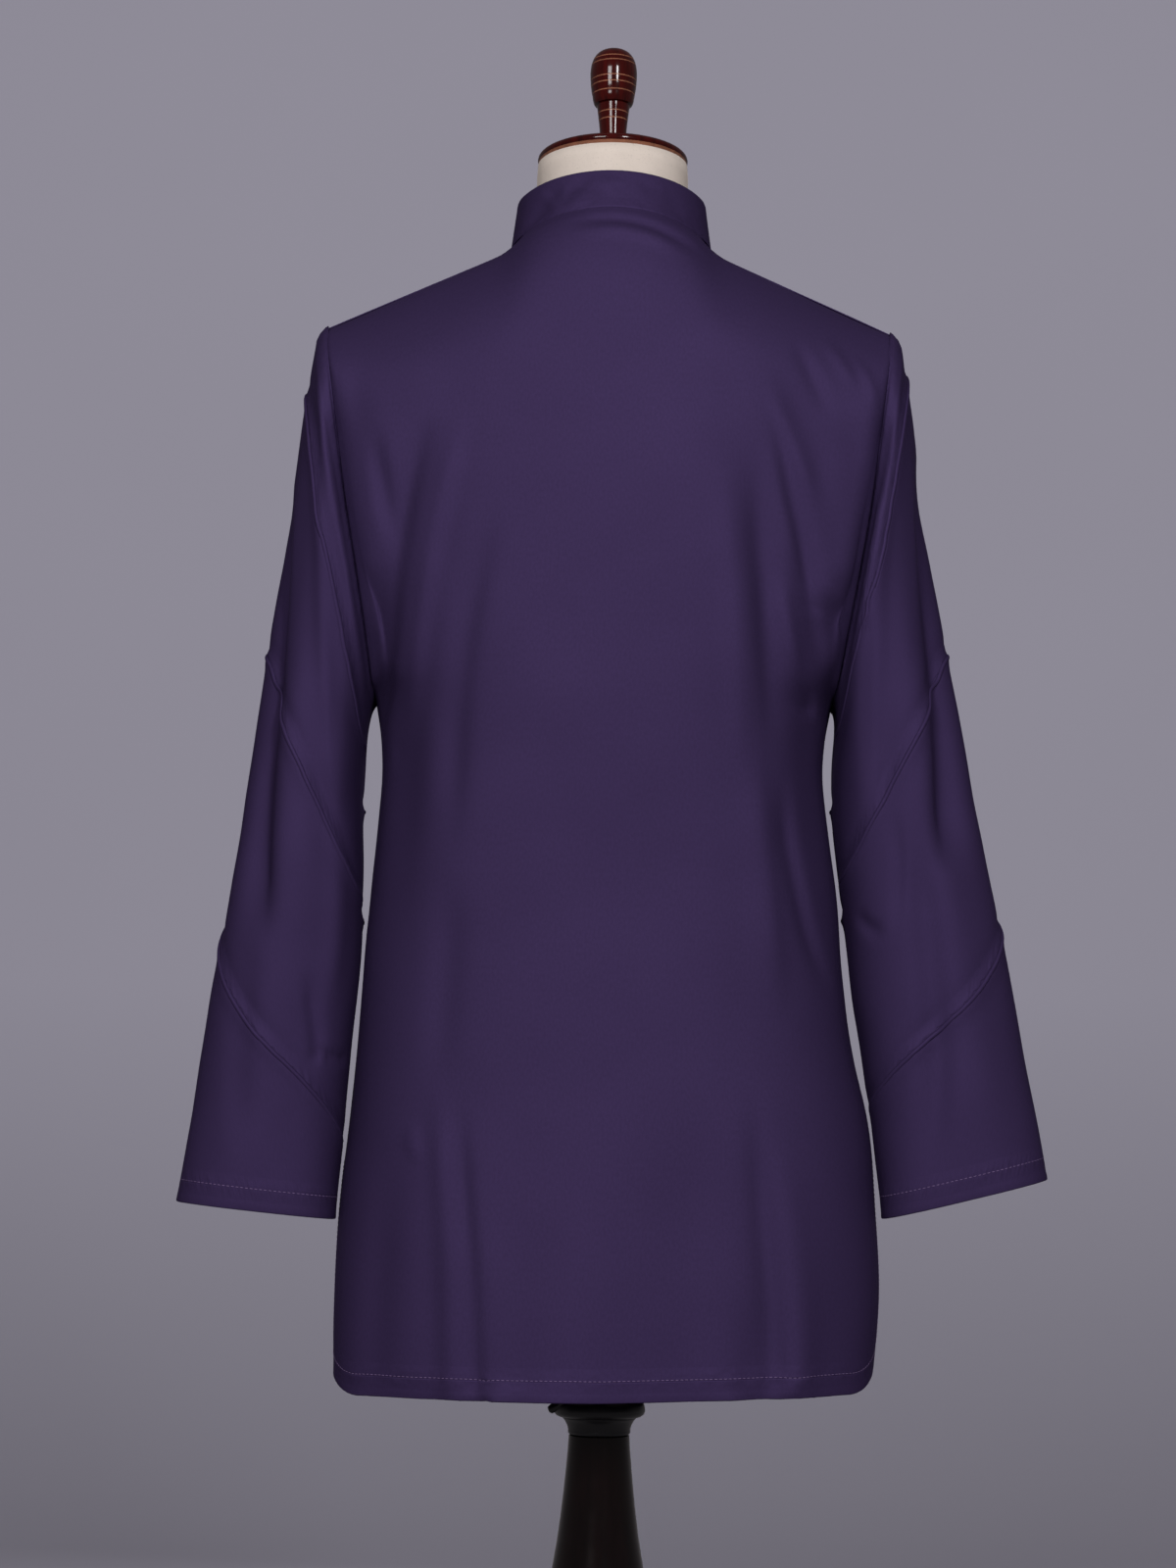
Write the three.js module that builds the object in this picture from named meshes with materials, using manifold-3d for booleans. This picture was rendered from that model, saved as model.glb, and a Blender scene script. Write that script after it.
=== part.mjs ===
// A short kurta with a stand collar, dressed on a limbless form with a turned wooden stand.
// Millimetres, +Z up. The origin is on the floor under the stand's axis. The garment's front faces -Y,
// its back +Y, and +X is the wearer's left.
import * as THREE from "three";
import { mergeVertices } from "three/addons/utils/BufferGeometryUtils.js";
import Module from "manifold-3d";

const wasm = await Module();
wasm.setup();

// ---------------------------------------------------------------- driving dimensions

const CLOTH = 1.5; // wall of the cloth
const SEAM = 0.3; // between two pieces at a seam
const SEAT = 0.4; // between a piece and what it lies on

const HEM_Z = 607;
const HEM_CORNER = 18; // radius of the rounded hem corners
const HEM_RISE_RIGHT = 5; // the right end of the hem hangs this much higher
const SLIT_Z = 787; // top of the side slits
const SLIT_OPEN = 5; // half the width of a slit at the hem
const SLIT_SPREAD = 0.2; // share of the half width that opens with it
const ARMPIT_Z = 1140;
const TIP_Z = 1442; // outer end of the shoulder seams
const NECK_POINT_Z = 1508; // inner end of the shoulder seams
const NECK_BACK_Z = 1526; // back neckline at the centre
const NECK_FRONT_Z = 1440; // front neckline at the centre
const SHOULDER_HALF = 227;
const NECK_HALF = 81;
const NECK_BACK = 70; // neckline's reach behind the axis
const NECK_FRONT = 84; // and before it
const NECK_SCOOP = 1.6; // how evenly the neckline leaves the neck points
const SECTION_POWER = 2.5; // squareness of the body's sections
const SHOULDER_ROUND = 95; // height over which the shoulders turn over to their seams
const SHOULDER_SHARE = 0.55; // share of the half width where that height is reached
const NAPE_ROUND = 62; // and over which the cloth turns in to the neckline
const ARMHOLE_DEPTH = 68; // half the armhole's size from back to front
const ARMHOLE_SPREAD = 5; // how soon the armhole's opening fades toward the centre
const ARMHOLE_CURVE = 115; // height over which the armhole opens above the armpit

const COLLAR_WALL = 2;
const COLLAR_LEAN = 0.94; // the collar's top ring against its bottom ring
const COLLAR_BACK_RISE = 31;
const COLLAR_SIDE_RISE = 39;
const COLLAR_FRONT_RISE = 36;
const COLLAR_GAP = 1.5; // half the gap at the centre front

const PLACKET_HALF = 17;
const PLACKET_BOTTOM_RISE = 0.98;
const PLACKET_WALL = 1.2;
const PLACKET_TOP_ROOM = 0.3; // rows of the panel left free above it
const BUTTONS = 4;
const BUTTON_RADIUS = 5.5;
const BUTTON_THICK = 2.6;
const BUTTON_TOP_ROOM = 1.6; // rows of the panel above the top button
const BUTTON_SPAN = 0.3; // rows above and below a button that it lies along

const TUCK_HALF = 2; // half the width of a sleeve tuck
const TUCK_HEIGHT = 1.7;
const TUCK_END = 0.25; // columns of the sleeve between a tuck's end and the underarm seam
const TUCK_STEP = 0.2; // columns or rows to each side that give the sleeve's slope under a tuck

const TORSO_BOTTOM_Z = 745;
const TORSO_EASE = 13; // the form lies this much inside the cloth below the shoulders
const TORSO_EASE_HEIGHT = 130; // height over which it reaches that
const TORSO_LOWER_RINGS = 5; // below the armpit
const TORSO_SIDE = 0.96; // the form's sides, as a share of the cloth's half width
const NECK_RADIUS = 62;
const NECK_Y = -6;
const NECK_TOP_Z = 1583;
const NECK_ROOM = 9; // the form lies this much further inside the neckline
const NECK_ROOM_SHARE = 0.12; // share of the half width over which that fades beyond the neck points

// The form's neck, from the neckline up: how far each ring has become round, and how far it has risen.
const NECK_RINGS = [
  { round: 0.75, rise: 0.08 },
  { round: 1, rise: 0.45 },
  { round: 1, rise: 1 },
];

const MAST_RADIUS = 12.5;
const BORE_RADIUS = 13.1;
const MAST_BOTTOM_Z = 380;
const BORE_BOTTOM_Z = 300;
const FLANGE_RADIUS = 42;
const FLANGE_THICK = 6;
const CAP_TOP_Z = 598;
const CLAMP_RADIUS = 20;
const CLAMP_HEIGHT = 34;
const LUG_REACH = 27;
const LUG_HALF = 8;
const LEVER_Z = 620;
const LEVER_BOSS_RADIUS = 7;
const LEVER_BOSS_LENGTH = 9;
const LEVER_ROD_RADIUS = 2.2;
const LEVER_LENGTH = 47;
const LEVER_SLOPE = 35; // degrees below level
const BASE_RADIUS = 190;
const BASE_HEIGHT = 34;

// Half widths of the body to the left and right, and its depths behind and before the side seams.
const OUTLINE = [
  { z: 600, left: 203, right: 207, back: 110, front: 120 },
  { z: 640, left: 205, right: 212, back: 109, front: 120 },
  { z: 690, left: 205, right: 215, back: 108, front: 119 },
  { z: 750, left: 203, right: 212, back: 106, front: 118 },
  { z: 810, left: 197, right: 207, back: 104, front: 117 },
  { z: 870, left: 192, right: 194, back: 102, front: 116 },
  { z: 930, left: 188, right: 186, back: 101, front: 116 },
  { z: 990, left: 184, right: 181, back: 101, front: 117 },
  { z: 1050, left: 179, right: 174, back: 103, front: 119 },
  { z: 1095, left: 177, right: 171, back: 105, front: 120 },
  { z: 1140, left: 183, right: 178, back: 108, front: 120 },
  { z: 1250, left: 200, right: 198, back: 112, front: 113 },
  { z: 1350, left: 214, right: 212, back: 106, front: 100 },
  { z: 1440, left: 227, right: 225, back: 93, front: 88 },
  { z: 1530, left: 227, right: 225, back: 80, front: 84 },
];

// Half widths at the armhole seams, from the armpit (rise 0) to the shoulder tip (rise 1).
const ARMHOLE = [
  { rise: 0, left: 183, right: 178 },
  { rise: 0.25, left: 193, right: 191 },
  { rise: 0.5, left: 206, right: 204 },
  { rise: 0.75, left: 217, right: 214 },
  { rise: 1, left: 228, right: 225 },
];

// The panels' columns, as shares of the half width, and their rows below and above the armpit.
const COLUMN_SHARES = [
  0, 0.09, 0.18, 0.26, 0.32, NECK_HALF / SHOULDER_HALF, 0.46, 0.57, 0.68, 0.78, 0.86, 0.92, 0.96, 0.988, 1,
];
const NECK_COLUMN = 5; // the column at the neck point
const LOWER_ROWS = 18;
const UPPER_ROWS = 10;

// The sleeves' outer and inner edges, half depth and distance behind the axis, from the armhole (t 0) to
// the cuff (t 1).
const SLEEVES = {
  left: [
    { t: 0, outerX: 229, outerZ: 1441, innerX: 185, innerZ: 1139, depth: 66, back: 2 },
    { t: 0.08, outerX: 239, outerZ: 1412, innerX: 189, innerZ: 1122, depth: 66, back: 3 },
    { t: 0.2, outerX: 247, outerZ: 1335, innerX: 192, innerZ: 1092, depth: 63, back: 5 },
    { t: 0.35, outerX: 260, outerZ: 1235, innerX: 192, innerZ: 1046, depth: 58, back: 8 },
    { t: 0.5, outerX: 273, outerZ: 1135, innerX: 191, innerZ: 990, depth: 53, back: 11 },
    { t: 0.65, outerX: 288, outerZ: 1012, innerX: 192, innerZ: 930, depth: 48, back: 14 },
    { t: 0.8, outerX: 305, outerZ: 892, innerX: 198, innerZ: 851, depth: 43, back: 17 },
    { t: 1, outerX: 325, outerZ: 748, innerX: 206, innerZ: 736, depth: 37, back: 20 },
  ],
  right: [
    { t: 0, outerX: 226, outerZ: 1441, innerX: 180, innerZ: 1139, depth: 66, back: 2 },
    { t: 0.08, outerX: 236, outerZ: 1412, innerX: 183, innerZ: 1124, depth: 66, back: 3 },
    { t: 0.2, outerX: 243, outerZ: 1335, innerX: 180, innerZ: 1096, depth: 63, back: 5 },
    { t: 0.35, outerX: 257, outerZ: 1240, innerX: 180, innerZ: 1050, depth: 58, back: 8 },
    { t: 0.5, outerX: 274, outerZ: 1142, innerX: 185, innerZ: 995, depth: 53, back: 11 },
    { t: 0.65, outerX: 296, outerZ: 1021, innerX: 191, innerZ: 935, depth: 48, back: 14 },
    { t: 0.8, outerX: 318, outerZ: 905, innerX: 203, innerZ: 856, depth: 43, back: 17 },
    { t: 1, outerX: 341, outerZ: 772, innerX: 217, innerZ: 741, depth: 37, back: 20 },
  ],
};
const SLEEVE_ROWS = 25;
const SLEEVE_COLUMNS = 2 * UPPER_ROWS;
const SLEEVE_BLEND = 0.24; // the sleeve has left the armhole's shape here
const SLEEVE_SHIFT = 40; // the armhole's shape moves this far out over a whole sleeve
const SLEEVE_SQUARENESS = 0.85; // 1 is an ellipse
const SLEEVE_EASING = 1.15; // how much closer the rows lie at the armhole

// Folds of the two panels. x is a fold's place at its top and drift how far it has moved at its bottom;
// width is its half width, and depth its height, inward where negative.
const PANEL_FOLDS = [
  { side: 1, x: 150, drift: 14, top: 1300, bottom: 900, width: 15, depth: -6 },
  { side: 1, x: 172, drift: -6, top: 1350, bottom: 1200, width: 9, depth: 3.5 },
  { side: 1, x: 118, drift: 34, top: 1390, bottom: 1190, width: 14, depth: -3.5 },
  { side: 1, x: -132, drift: -58, top: 1420, bottom: 1180, width: 13, depth: -4.5 },
  { side: 1, x: -98, drift: -40, top: 1390, bottom: 1120, width: 14, depth: -3.5 },
  { side: 1, x: -165, drift: -26, top: 1380, bottom: 1260, width: 9, depth: -4 },
  { side: 1, x: -150, drift: -24, top: 1260, bottom: 920, width: 18, depth: -5 },
  { side: 1, x: 116, drift: -16, top: 800, bottom: 560, width: 11, depth: -5 },
  { side: 1, x: 96, drift: -12, top: 830, bottom: 560, width: 16, depth: 4 },
  { side: 1, x: -116, drift: -9, top: 790, bottom: 560, width: 10, depth: -5 },
  { side: 1, x: -134, drift: -14, top: 800, bottom: 560, width: 15, depth: 4 },
  { side: 1, x: 10, drift: 20, top: 820, bottom: 560, width: 34, depth: 5 },
  { side: 1, x: -60, drift: -8, top: 860, bottom: 560, width: 26, depth: -4 },
  { side: -1, x: 140, drift: 18, top: 1320, bottom: 940, width: 16, depth: -6 },
  { side: -1, x: -142, drift: -20, top: 1300, bottom: 900, width: 16, depth: -6 },
  { side: -1, x: 104, drift: 44, top: 1400, bottom: 1180, width: 14, depth: -4 },
  { side: -1, x: -112, drift: -46, top: 1410, bottom: 1200, width: 14, depth: -4 },
  { side: -1, x: 92, drift: 18, top: 830, bottom: 560, width: 14, depth: -6 },
  { side: -1, x: -100, drift: -10, top: 810, bottom: 560, width: 13, depth: -6 },
  { side: -1, x: 20, drift: -10, top: 850, bottom: 560, width: 30, depth: 5 },
];
const HEM_FOLD_Z = 600; // a fold whose bottom is below this runs out through the hem
const HEM_FOLD_START = 1.4; // how quickly such a fold starts
const FOLD_START = 3; // how quickly the others start and end
const FOLD_END = 2.2;
const FOLD_SIDE_ROOM = 0.08; // share of the half width without folds at the side seams
const FOLD_TOP_ROOM = 60; // height without folds below the shoulder seams
const SLEEVE_FOLD_FADE = 3;

// Long folds of the sleeves. around is a fold's place in degrees from the outer edge, toward the back
// where positive; drift is how far it has turned at its lower end.
const SLEEVE_FOLDS = [
  { around: 62, drift: -22, start: 0.05, end: 0.78, width: 17, depth: -5 },
  { around: 112, drift: -12, start: 0.1, end: 0.62, width: 15, depth: -4 },
  { around: 88, drift: -14, start: 0.3, end: 1.1, width: 20, depth: 4 },
  { around: -70, drift: 16, start: 0.05, end: 0.7, width: 17, depth: -5 },
  { around: -115, drift: 10, start: 0.12, end: 0.66, width: 15, depth: -4 },
  { around: -95, drift: 18, start: 0.35, end: 1.1, width: 20, depth: 4 },
];

// Sleeve tucks, as lines in the flat sleeve. front, outer and back are the places along the sleeve (t)
// at the underarm seam before the arm, at the outer edge and at the underarm seam behind it.
const TUCKS = {
  left: [
    { name: "a", front: 0.06, outer: 0.155, back: 0.2 },
    { name: "b", front: 0.33, outer: 0.445, back: 0.53 },
    { name: "c", front: 0.56, outer: 0.725, back: 0.905 },
  ],
  right: [
    { name: "a", front: 0.08, outer: 0.13, back: 0.17 },
    { name: "b", front: 0.33, outer: 0.445, back: 0.495 },
    { name: "c", front: 0.56, outer: 0.72, back: 0.86 },
  ],
};

// Turned profiles, as radius and height from the bottom up.
const CAP_PROFILE = [[30, 586.3], [34, 588], [35.2, 591], [34.6, 595], [33, CAP_TOP_Z]];
const FERRULE_PROFILE = [[23.6, 573.3], [23.9, 577], [25.6, 582], [28.4, 586]];
const COLUMN_PROFILE = [
  [58, BASE_HEIGHT + SEAM], [58, 46], [50, 54], [46, 62], [46, 70], [38, 84], [33, 104], [30, 140], [31, 176],
  [37, 184], [37, 194], [29, 202], [29, 212], [36, 234], [43, 280], [46.5, 330], [46, 372], [42, 420],
  [36, 466], [30.5, 500], [26.8, 531], [24.4, 556], [23.4, 573],
];
const BASE_PROFILE = [
  [0, 0], [BASE_RADIUS - 4, 0], [BASE_RADIUS, 5], [BASE_RADIUS, 17], [183, 25], [168, 29], [100, 32.5],
  [62, BASE_HEIGHT], [0, BASE_HEIGHT],
];
const NECK_CAP_TOP_Z = 1599;
const NECK_CAP_PROFILE = [
  [0, NECK_TOP_Z + SEAM], [57, NECK_TOP_Z + SEAM], [60.6, 1586], [61, 1588.5], [59.5, 1591.5],
  [50, 1595], [30, 1598], [14, NECK_CAP_TOP_Z], [0, NECK_CAP_TOP_Z],
];
const FINIAL_PROFILE = [
  [0, NECK_CAP_TOP_Z + SEAM], [13, NECK_CAP_TOP_Z + SEAM], [13, 1602], [11, 1606], [10.8, 1613], [12, 1624],
  [13.4, 1635.5], [15.3, 1637], [17.4, 1645], [18.9, 1655], [18.9, 1664], [17.4, 1672], [13.6, 1678.5],
  [7, 1682], [0, 1683],
];

// ---------------------------------------------------------------- finishes

const finish = (color, roughness, metalness) => () => new THREE.MeshStandardMaterial({
  color, roughness, metalness,
});
const clothFinish = finish(0x3e3055, 0.78, 0);
const canvasFinish = finish(0xe1d4c6, 0.9, 0);
const lacquerFinish = finish(0x5a0f08, 0.2, 0);
const darkWoodFinish = finish(0x1c0b07, 0.22, 0);
const blackFinish = finish(0x0a0a0b, 0.35, 0);
const steelFinish = finish(0x8a8c90, 0.3, 1);
const buttonFinish = finish(0x2c2140, 0.4, 0);

// ---------------------------------------------------------------- numbers and tables

const clamp01 = (value) => Math.min(1, Math.max(0, value));
const smooth = (value) => clamp01(value) ** 2 * (3 - 2 * clamp01(value));
const quarter = (value) => Math.sqrt(1 - (1 - clamp01(value)) ** 2);
const signedPower = (value, power) => Math.sign(value) * Math.abs(value) ** power;

// A table's column at a value of its key, on a smooth curve through the rows.
function fromTable(rows, key, value, column) {
  const last = rows.length - 1;
  const at = Math.min(rows[last][key], Math.max(rows[0][key], value));
  let i = 0;
  while (i < last - 1 && rows[i + 1][key] < at) i += 1;
  const slope = (a, b) => (rows[b][column] - rows[a][column]) / (rows[b][key] - rows[a][key]);
  const step = rows[i + 1][key] - rows[i][key];
  const startSlope = i > 0 ? slope(i - 1, i + 1) : slope(i, i + 1);
  const endSlope = i + 1 < last ? slope(i, i + 2) : slope(i, i + 1);
  const f = (at - rows[i][key]) / step;
  const toNext = 3 * f ** 2 - 2 * f ** 3;
  const leaving = (f ** 3 - 2 * f ** 2 + f) * step * startSlope;
  const arriving = (f ** 3 - f ** 2) * step * endSlope;
  return (1 - toNext) * rows[i][column] + toNext * rows[i + 1][column] + leaving + arriving;
}

// ---------------------------------------------------------------- the body's surface

const neckShare = (share) => Math.sqrt(1 - clamp01(share / COLUMN_SHARES[NECK_COLUMN]) ** 2);

function topHeight(side, share) {
  if (share >= COLUMN_SHARES[NECK_COLUMN]) {
    const along = (share - COLUMN_SHARES[NECK_COLUMN]) / (1 - COLUMN_SHARES[NECK_COLUMN]);
    return THREE.MathUtils.lerp(NECK_POINT_Z, TIP_Z, along);
  }
  if (side > 0) return NECK_POINT_Z + (NECK_BACK_Z - NECK_POINT_Z) * neckShare(share) ** NECK_SCOOP;
  return NECK_POINT_Z + (NECK_FRONT_Z - NECK_POINT_Z) * neckShare(share) ** NECK_SCOOP;
}

function hemHeight(across, halfWidth) {
  const intoCorner = clamp01((Math.abs(across) * halfWidth - (halfWidth - HEM_CORNER)) / HEM_CORNER);
  const tilt = HEM_RISE_RIGHT * Math.max(0, -across);
  return HEM_Z + tilt + HEM_CORNER * (1 - Math.sqrt(1 - intoCorner ** 2));
}

// The plain surface of a panel, without folds. side is 1 behind and -1 before. across runs from -1 at the
// right to 1 at the left. rise runs from 0 at the hem over 1 at the armpit to 2 at the shoulder seam.
function plainPoint(side, across, rise) {
  const hand = across < 0 ? "right" : "left";
  const share = Math.abs(across);
  const upper = Math.max(0, rise - 1);
  const top = topHeight(side, share);
  const hem = hemHeight(across, OUTLINE[0][hand]);
  const z = rise < 1
    ? THREE.MathUtils.lerp(hem, ARMPIT_Z, rise)
    : THREE.MathUtils.lerp(ARMPIT_Z, top, upper);
  const edge = rise < 1 ? fromTable(OUTLINE, "z", z, hand) : fromTable(ARMHOLE, "rise", upper, hand);
  const edgeDepth = ARMHOLE_DEPTH * quarter((z - ARMPIT_Z) / ARMHOLE_CURVE) * share ** ARMHOLE_SPREAD;
  const depth = fromTable(OUTLINE, "z", z, side > 0 ? "back" : "front");
  const bulge = (1 - share ** SECTION_POWER) ** (1 / SECTION_POWER);
  const section = edgeDepth + (depth - edgeDepth) * bulge;
  const seamDepth = (side > 0 ? NECK_BACK : NECK_FRONT) * neckShare(share);
  const down = (SLIT_Z - z) / (SLIT_Z - HEM_Z);
  const slit = SLIT_OPEN * smooth(down) * smooth((share - 1 + SLIT_SPREAD) / SLIT_SPREAD);
  const turn = THREE.MathUtils.lerp(NAPE_ROUND, SHOULDER_ROUND, smooth(share / SHOULDER_SHARE));
  const reach = seamDepth + (section - seamDepth) * quarter((top - z) / turn);
  return new THREE.Vector3(edge * across, side * (reach + slit + SEAM / 2), z);
}

// The outward normal of a surface of two parameters, each kept inside its limits.
function surfaceNormal(surface, across, rise, outward) {
  const step = 0.0005;
  const a = surface(Math.min(1, across + step), rise).sub(surface(Math.max(-1, across - step), rise));
  const b = surface(across, Math.min(2, rise + step)).sub(surface(across, Math.max(0, rise - step)));
  const normal = a.cross(b).normalize();
  return normal.dot(outward) < 0 ? normal.negate() : normal;
}

// Roughly outward from a panel, and up as well where it turns over to its top edge.
const TOP_TURN = 1.9;
const roughlyOutward = (side, across, rise) => new THREE.Vector3(across / 2, side, rise > TOP_TURN ? 1 : 0);

function plainNormal(side, across, rise) {
  const outward = roughlyOutward(side, across, rise);
  return surfaceNormal((a, r) => plainPoint(side, a, r), across, rise, outward);
}

function foldHeight(side, point, share, top) {
  let height = 0;
  for (const fold of PANEL_FOLDS.filter((row) => row.side === side)) {
    const down = (fold.top - point.z) / (fold.top - fold.bottom);
    const fade = fold.bottom < HEM_FOLD_Z
      ? smooth(down * HEM_FOLD_START)
      : smooth(down * FOLD_START) * smooth((1 - down) * FOLD_END);
    const away = (point.x - fold.x - fold.drift * down) / fold.width;
    height += fold.depth * fade * Math.exp(-(away ** 2));
  }
  return height * smooth((1 - share) / FOLD_SIDE_ROOM) * smooth((top - point.z) / FOLD_TOP_ROOM);
}

function panelPoint(side, across, rise) {
  const point = plainPoint(side, across, rise);
  const share = Math.abs(across);
  const height = foldHeight(side, point, share, topHeight(side, share));
  return point.addScaledVector(plainNormal(side, across, rise), height);
}

// ---------------------------------------------------------------- closed solids from grids

function solid(name, points, faces, material) {
  const geometry = new THREE.BufferGeometry();
  geometry.setAttribute("position", new THREE.Float32BufferAttribute(points.flatMap((p) => p.toArray()), 3));
  geometry.setIndex(faces.flat());
  const mesh = new THREE.Mesh(geometry, material);
  mesh.name = name;
  return mesh;
}

// A wall between two grids of points, columns by rows. A closed wall joins its last column to its first.
function wall(name, outer, inner, closed, material) {
  const columns = outer.length;
  const rows = outer[0].length;
  const points = [...outer.flat(), ...inner.flat()];
  const at = (layer, i, j) => layer * columns * rows + (i % columns) * rows + j;
  const faces = [];
  const quad = (a, b, c, d) => faces.push([a, b, c], [a, c, d]);
  const strips = closed ? columns : columns - 1;
  for (let i = 0; i < strips; i += 1) {
    for (let j = 0; j < rows - 1; j += 1) {
      quad(at(0, i, j), at(0, i + 1, j), at(0, i + 1, j + 1), at(0, i, j + 1));
      quad(at(1, i, j), at(1, i, j + 1), at(1, i + 1, j + 1), at(1, i + 1, j));
    }
    quad(at(1, i, 0), at(1, i + 1, 0), at(0, i + 1, 0), at(0, i, 0));
    quad(at(0, i, rows - 1), at(0, i + 1, rows - 1), at(1, i + 1, rows - 1), at(1, i, rows - 1));
  }
  for (let j = 0; j < rows - 1 && !closed; j += 1) {
    quad(at(0, 0, j), at(0, 0, j + 1), at(1, 0, j + 1), at(1, 0, j));
    quad(at(1, columns - 1, j), at(1, columns - 1, j + 1), at(0, columns - 1, j + 1), at(0, columns - 1, j));
  }
  return solid(name, points, outwardFaces(points, faces), material);
}

// The same faces, turned over where they enclose a negative volume.
function outwardFaces(points, faces) {
  const volume = faces.reduce((sum, [a, b, c]) => sum + points[a].dot(points[b].clone().cross(points[c])), 0);
  return volume > 0 ? faces : faces.map(([a, b, c]) => [a, c, b]);
}

function turned(name, profile, segments, material) {
  const outline = profile.map(([radius, height]) => new THREE.Vector2(radius, height));
  const geometry = new THREE.LatheGeometry(outline, segments);
  geometry.rotateX(Math.PI / 2);
  const mesh = new THREE.Mesh(geometry, material);
  mesh.name = name;
  return mesh;
}

// A profile with a bore around the axis, closed on itself.
function bored(profile, radius) {
  const bottom = profile[0][1];
  const top = profile[profile.length - 1][1];
  return [[radius, bottom], ...profile, [radius, top], [radius, bottom]];
}

// ---------------------------------------------------------------- panels, collar, placket and buttons

const acrossValues = [...COLUMN_SHARES.slice(1).reverse().map((share) => -share), ...COLUMN_SHARES];
const riseValues = [];
for (let j = 0; j <= LOWER_ROWS; j += 1) {
  riseValues.push(j / LOWER_ROWS);
}
for (let j = 1; j <= UPPER_ROWS; j += 1) {
  riseValues.push(1 + (1 - Math.cos((Math.PI * j) / UPPER_ROWS)) / 2);
}

const centreColumn = COLUMN_SHARES.length - 1;
const topRow = riseValues.length - 1;

function panelGrids(side) {
  const outer = acrossValues.map((across) => riseValues.map((rise) => panelPoint(side, across, rise)));
  const surface = (across, rise) => panelPoint(side, across, rise);
  const inner = outer.map((column, i) => column.map((point, j) => {
    const atNeckline = j === topRow && Math.abs(i - centreColumn) <= NECK_COLUMN;
    const outward = roughlyOutward(side, acrossValues[i], riseValues[j]);
    const normal = atNeckline
      ? new THREE.Vector3(0, 0, 1)
      : surfaceNormal(surface, acrossValues[i], riseValues[j], outward);
    return point.clone().addScaledVector(normal, -CLOTH);
  }));
  return { outer, inner };
}

const back = panelGrids(1);
const front = panelGrids(-1);

// The neckline, from the centre front over the left neck point and the back to the centre front again.
function necklineLoop() {
  const frontLeft = [];
  const frontRight = [];
  for (let i = 0; i < NECK_COLUMN; i += 1) {
    frontLeft.push(front.outer[centreColumn + i][topRow]);
    frontRight.unshift(front.outer[centreColumn - i][topRow]);
  }
  const behind = [];
  for (let i = NECK_COLUMN; i >= -NECK_COLUMN; i -= 1) {
    behind.push(back.outer[centreColumn + i][topRow]);
  }
  return [...frontLeft, ...behind, ...frontRight].map((point) => point.clone());
}

// The neckline moved toward the neck by an inset, and leant and raised by a share of the collar's height.
function collarPoint(point, index, last, inset, height) {
  const centre = new THREE.Vector3(0, NECK_Y, point.z);
  const toCentre = centre.clone().sub(point);
  const away = toCentre.length();
  const behind = clamp01((point.y - NECK_Y) / (NECK_BACK - NECK_Y));
  const before = clamp01((NECK_Y - point.y) / (NECK_FRONT + NECK_Y));
  const rise = COLLAR_SIDE_RISE + (COLLAR_BACK_RISE - COLLAR_SIDE_RISE) * behind ** 2
    + (COLLAR_FRONT_RISE - COLLAR_SIDE_RISE) * before ** 2;
  const lean = (1 - COLLAR_LEAN) * away * height * (1 + behind);
  const moved = point.clone().addScaledVector(toCentre.normalize(), inset + lean);
  if (index === 0) moved.x = COLLAR_GAP;
  if (index === last) moved.x = -COLLAR_GAP;
  moved.z = point.z - CLOTH + (rise + CLOTH) * height;
  return moved;
}

function standCollar() {
  const loop = necklineLoop();
  const last = loop.length - 1;
  const heights = [0, 0.5, 1];
  const layer = (inset) => loop.map((point, i) => (
    heights.map((height) => collarPoint(point, i, last, inset, height))));
  return wall("collar", layer(SEAM), layer(SEAM + COLLAR_WALL), false, clothFinish());
}

// A point between a grid's points, on the facets of its cell.
function onGrid(grid, column, row, closed) {
  const columns = grid.length;
  const i = closed ? Math.floor(column) : Math.min(columns - 2, Math.max(0, Math.floor(column)));
  const j = Math.min(grid[0].length - 2, Math.max(0, Math.floor(row)));
  const wrap = (index) => ((index % columns) + columns) % columns;
  const u = column - i;
  const v = row - j;
  const a = grid[wrap(i)][j].clone().lerp(grid[wrap(i + 1)][j], u);
  const b = grid[wrap(i)][j + 1].clone().lerp(grid[wrap(i + 1)][j + 1], u);
  return a.lerp(b, v);
}

function placket() {
  const firstRow = riseValues.findIndex((rise) => rise > PLACKET_BOTTOM_RISE);
  const shareStep = COLUMN_SHARES[1] * SHOULDER_HALF;
  const columns = [-PLACKET_HALF / shareStep, 0, PLACKET_HALF / shareStep];
  const rows = [];
  for (let j = firstRow; j < topRow; j += 1) {
    rows.push(j);
  }
  rows.push(topRow - PLACKET_TOP_ROOM);
  const outward = new THREE.Vector3(0, -1, 0);
  const layer = (lift) => columns.map((column) => rows.map((row) => (
    onGrid(front.outer, centreColumn + column, row, false).addScaledVector(outward, lift))));
  return wall("placket", layer(SEAT + PLACKET_WALL), layer(SEAT), false, clothFinish());
}

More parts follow.
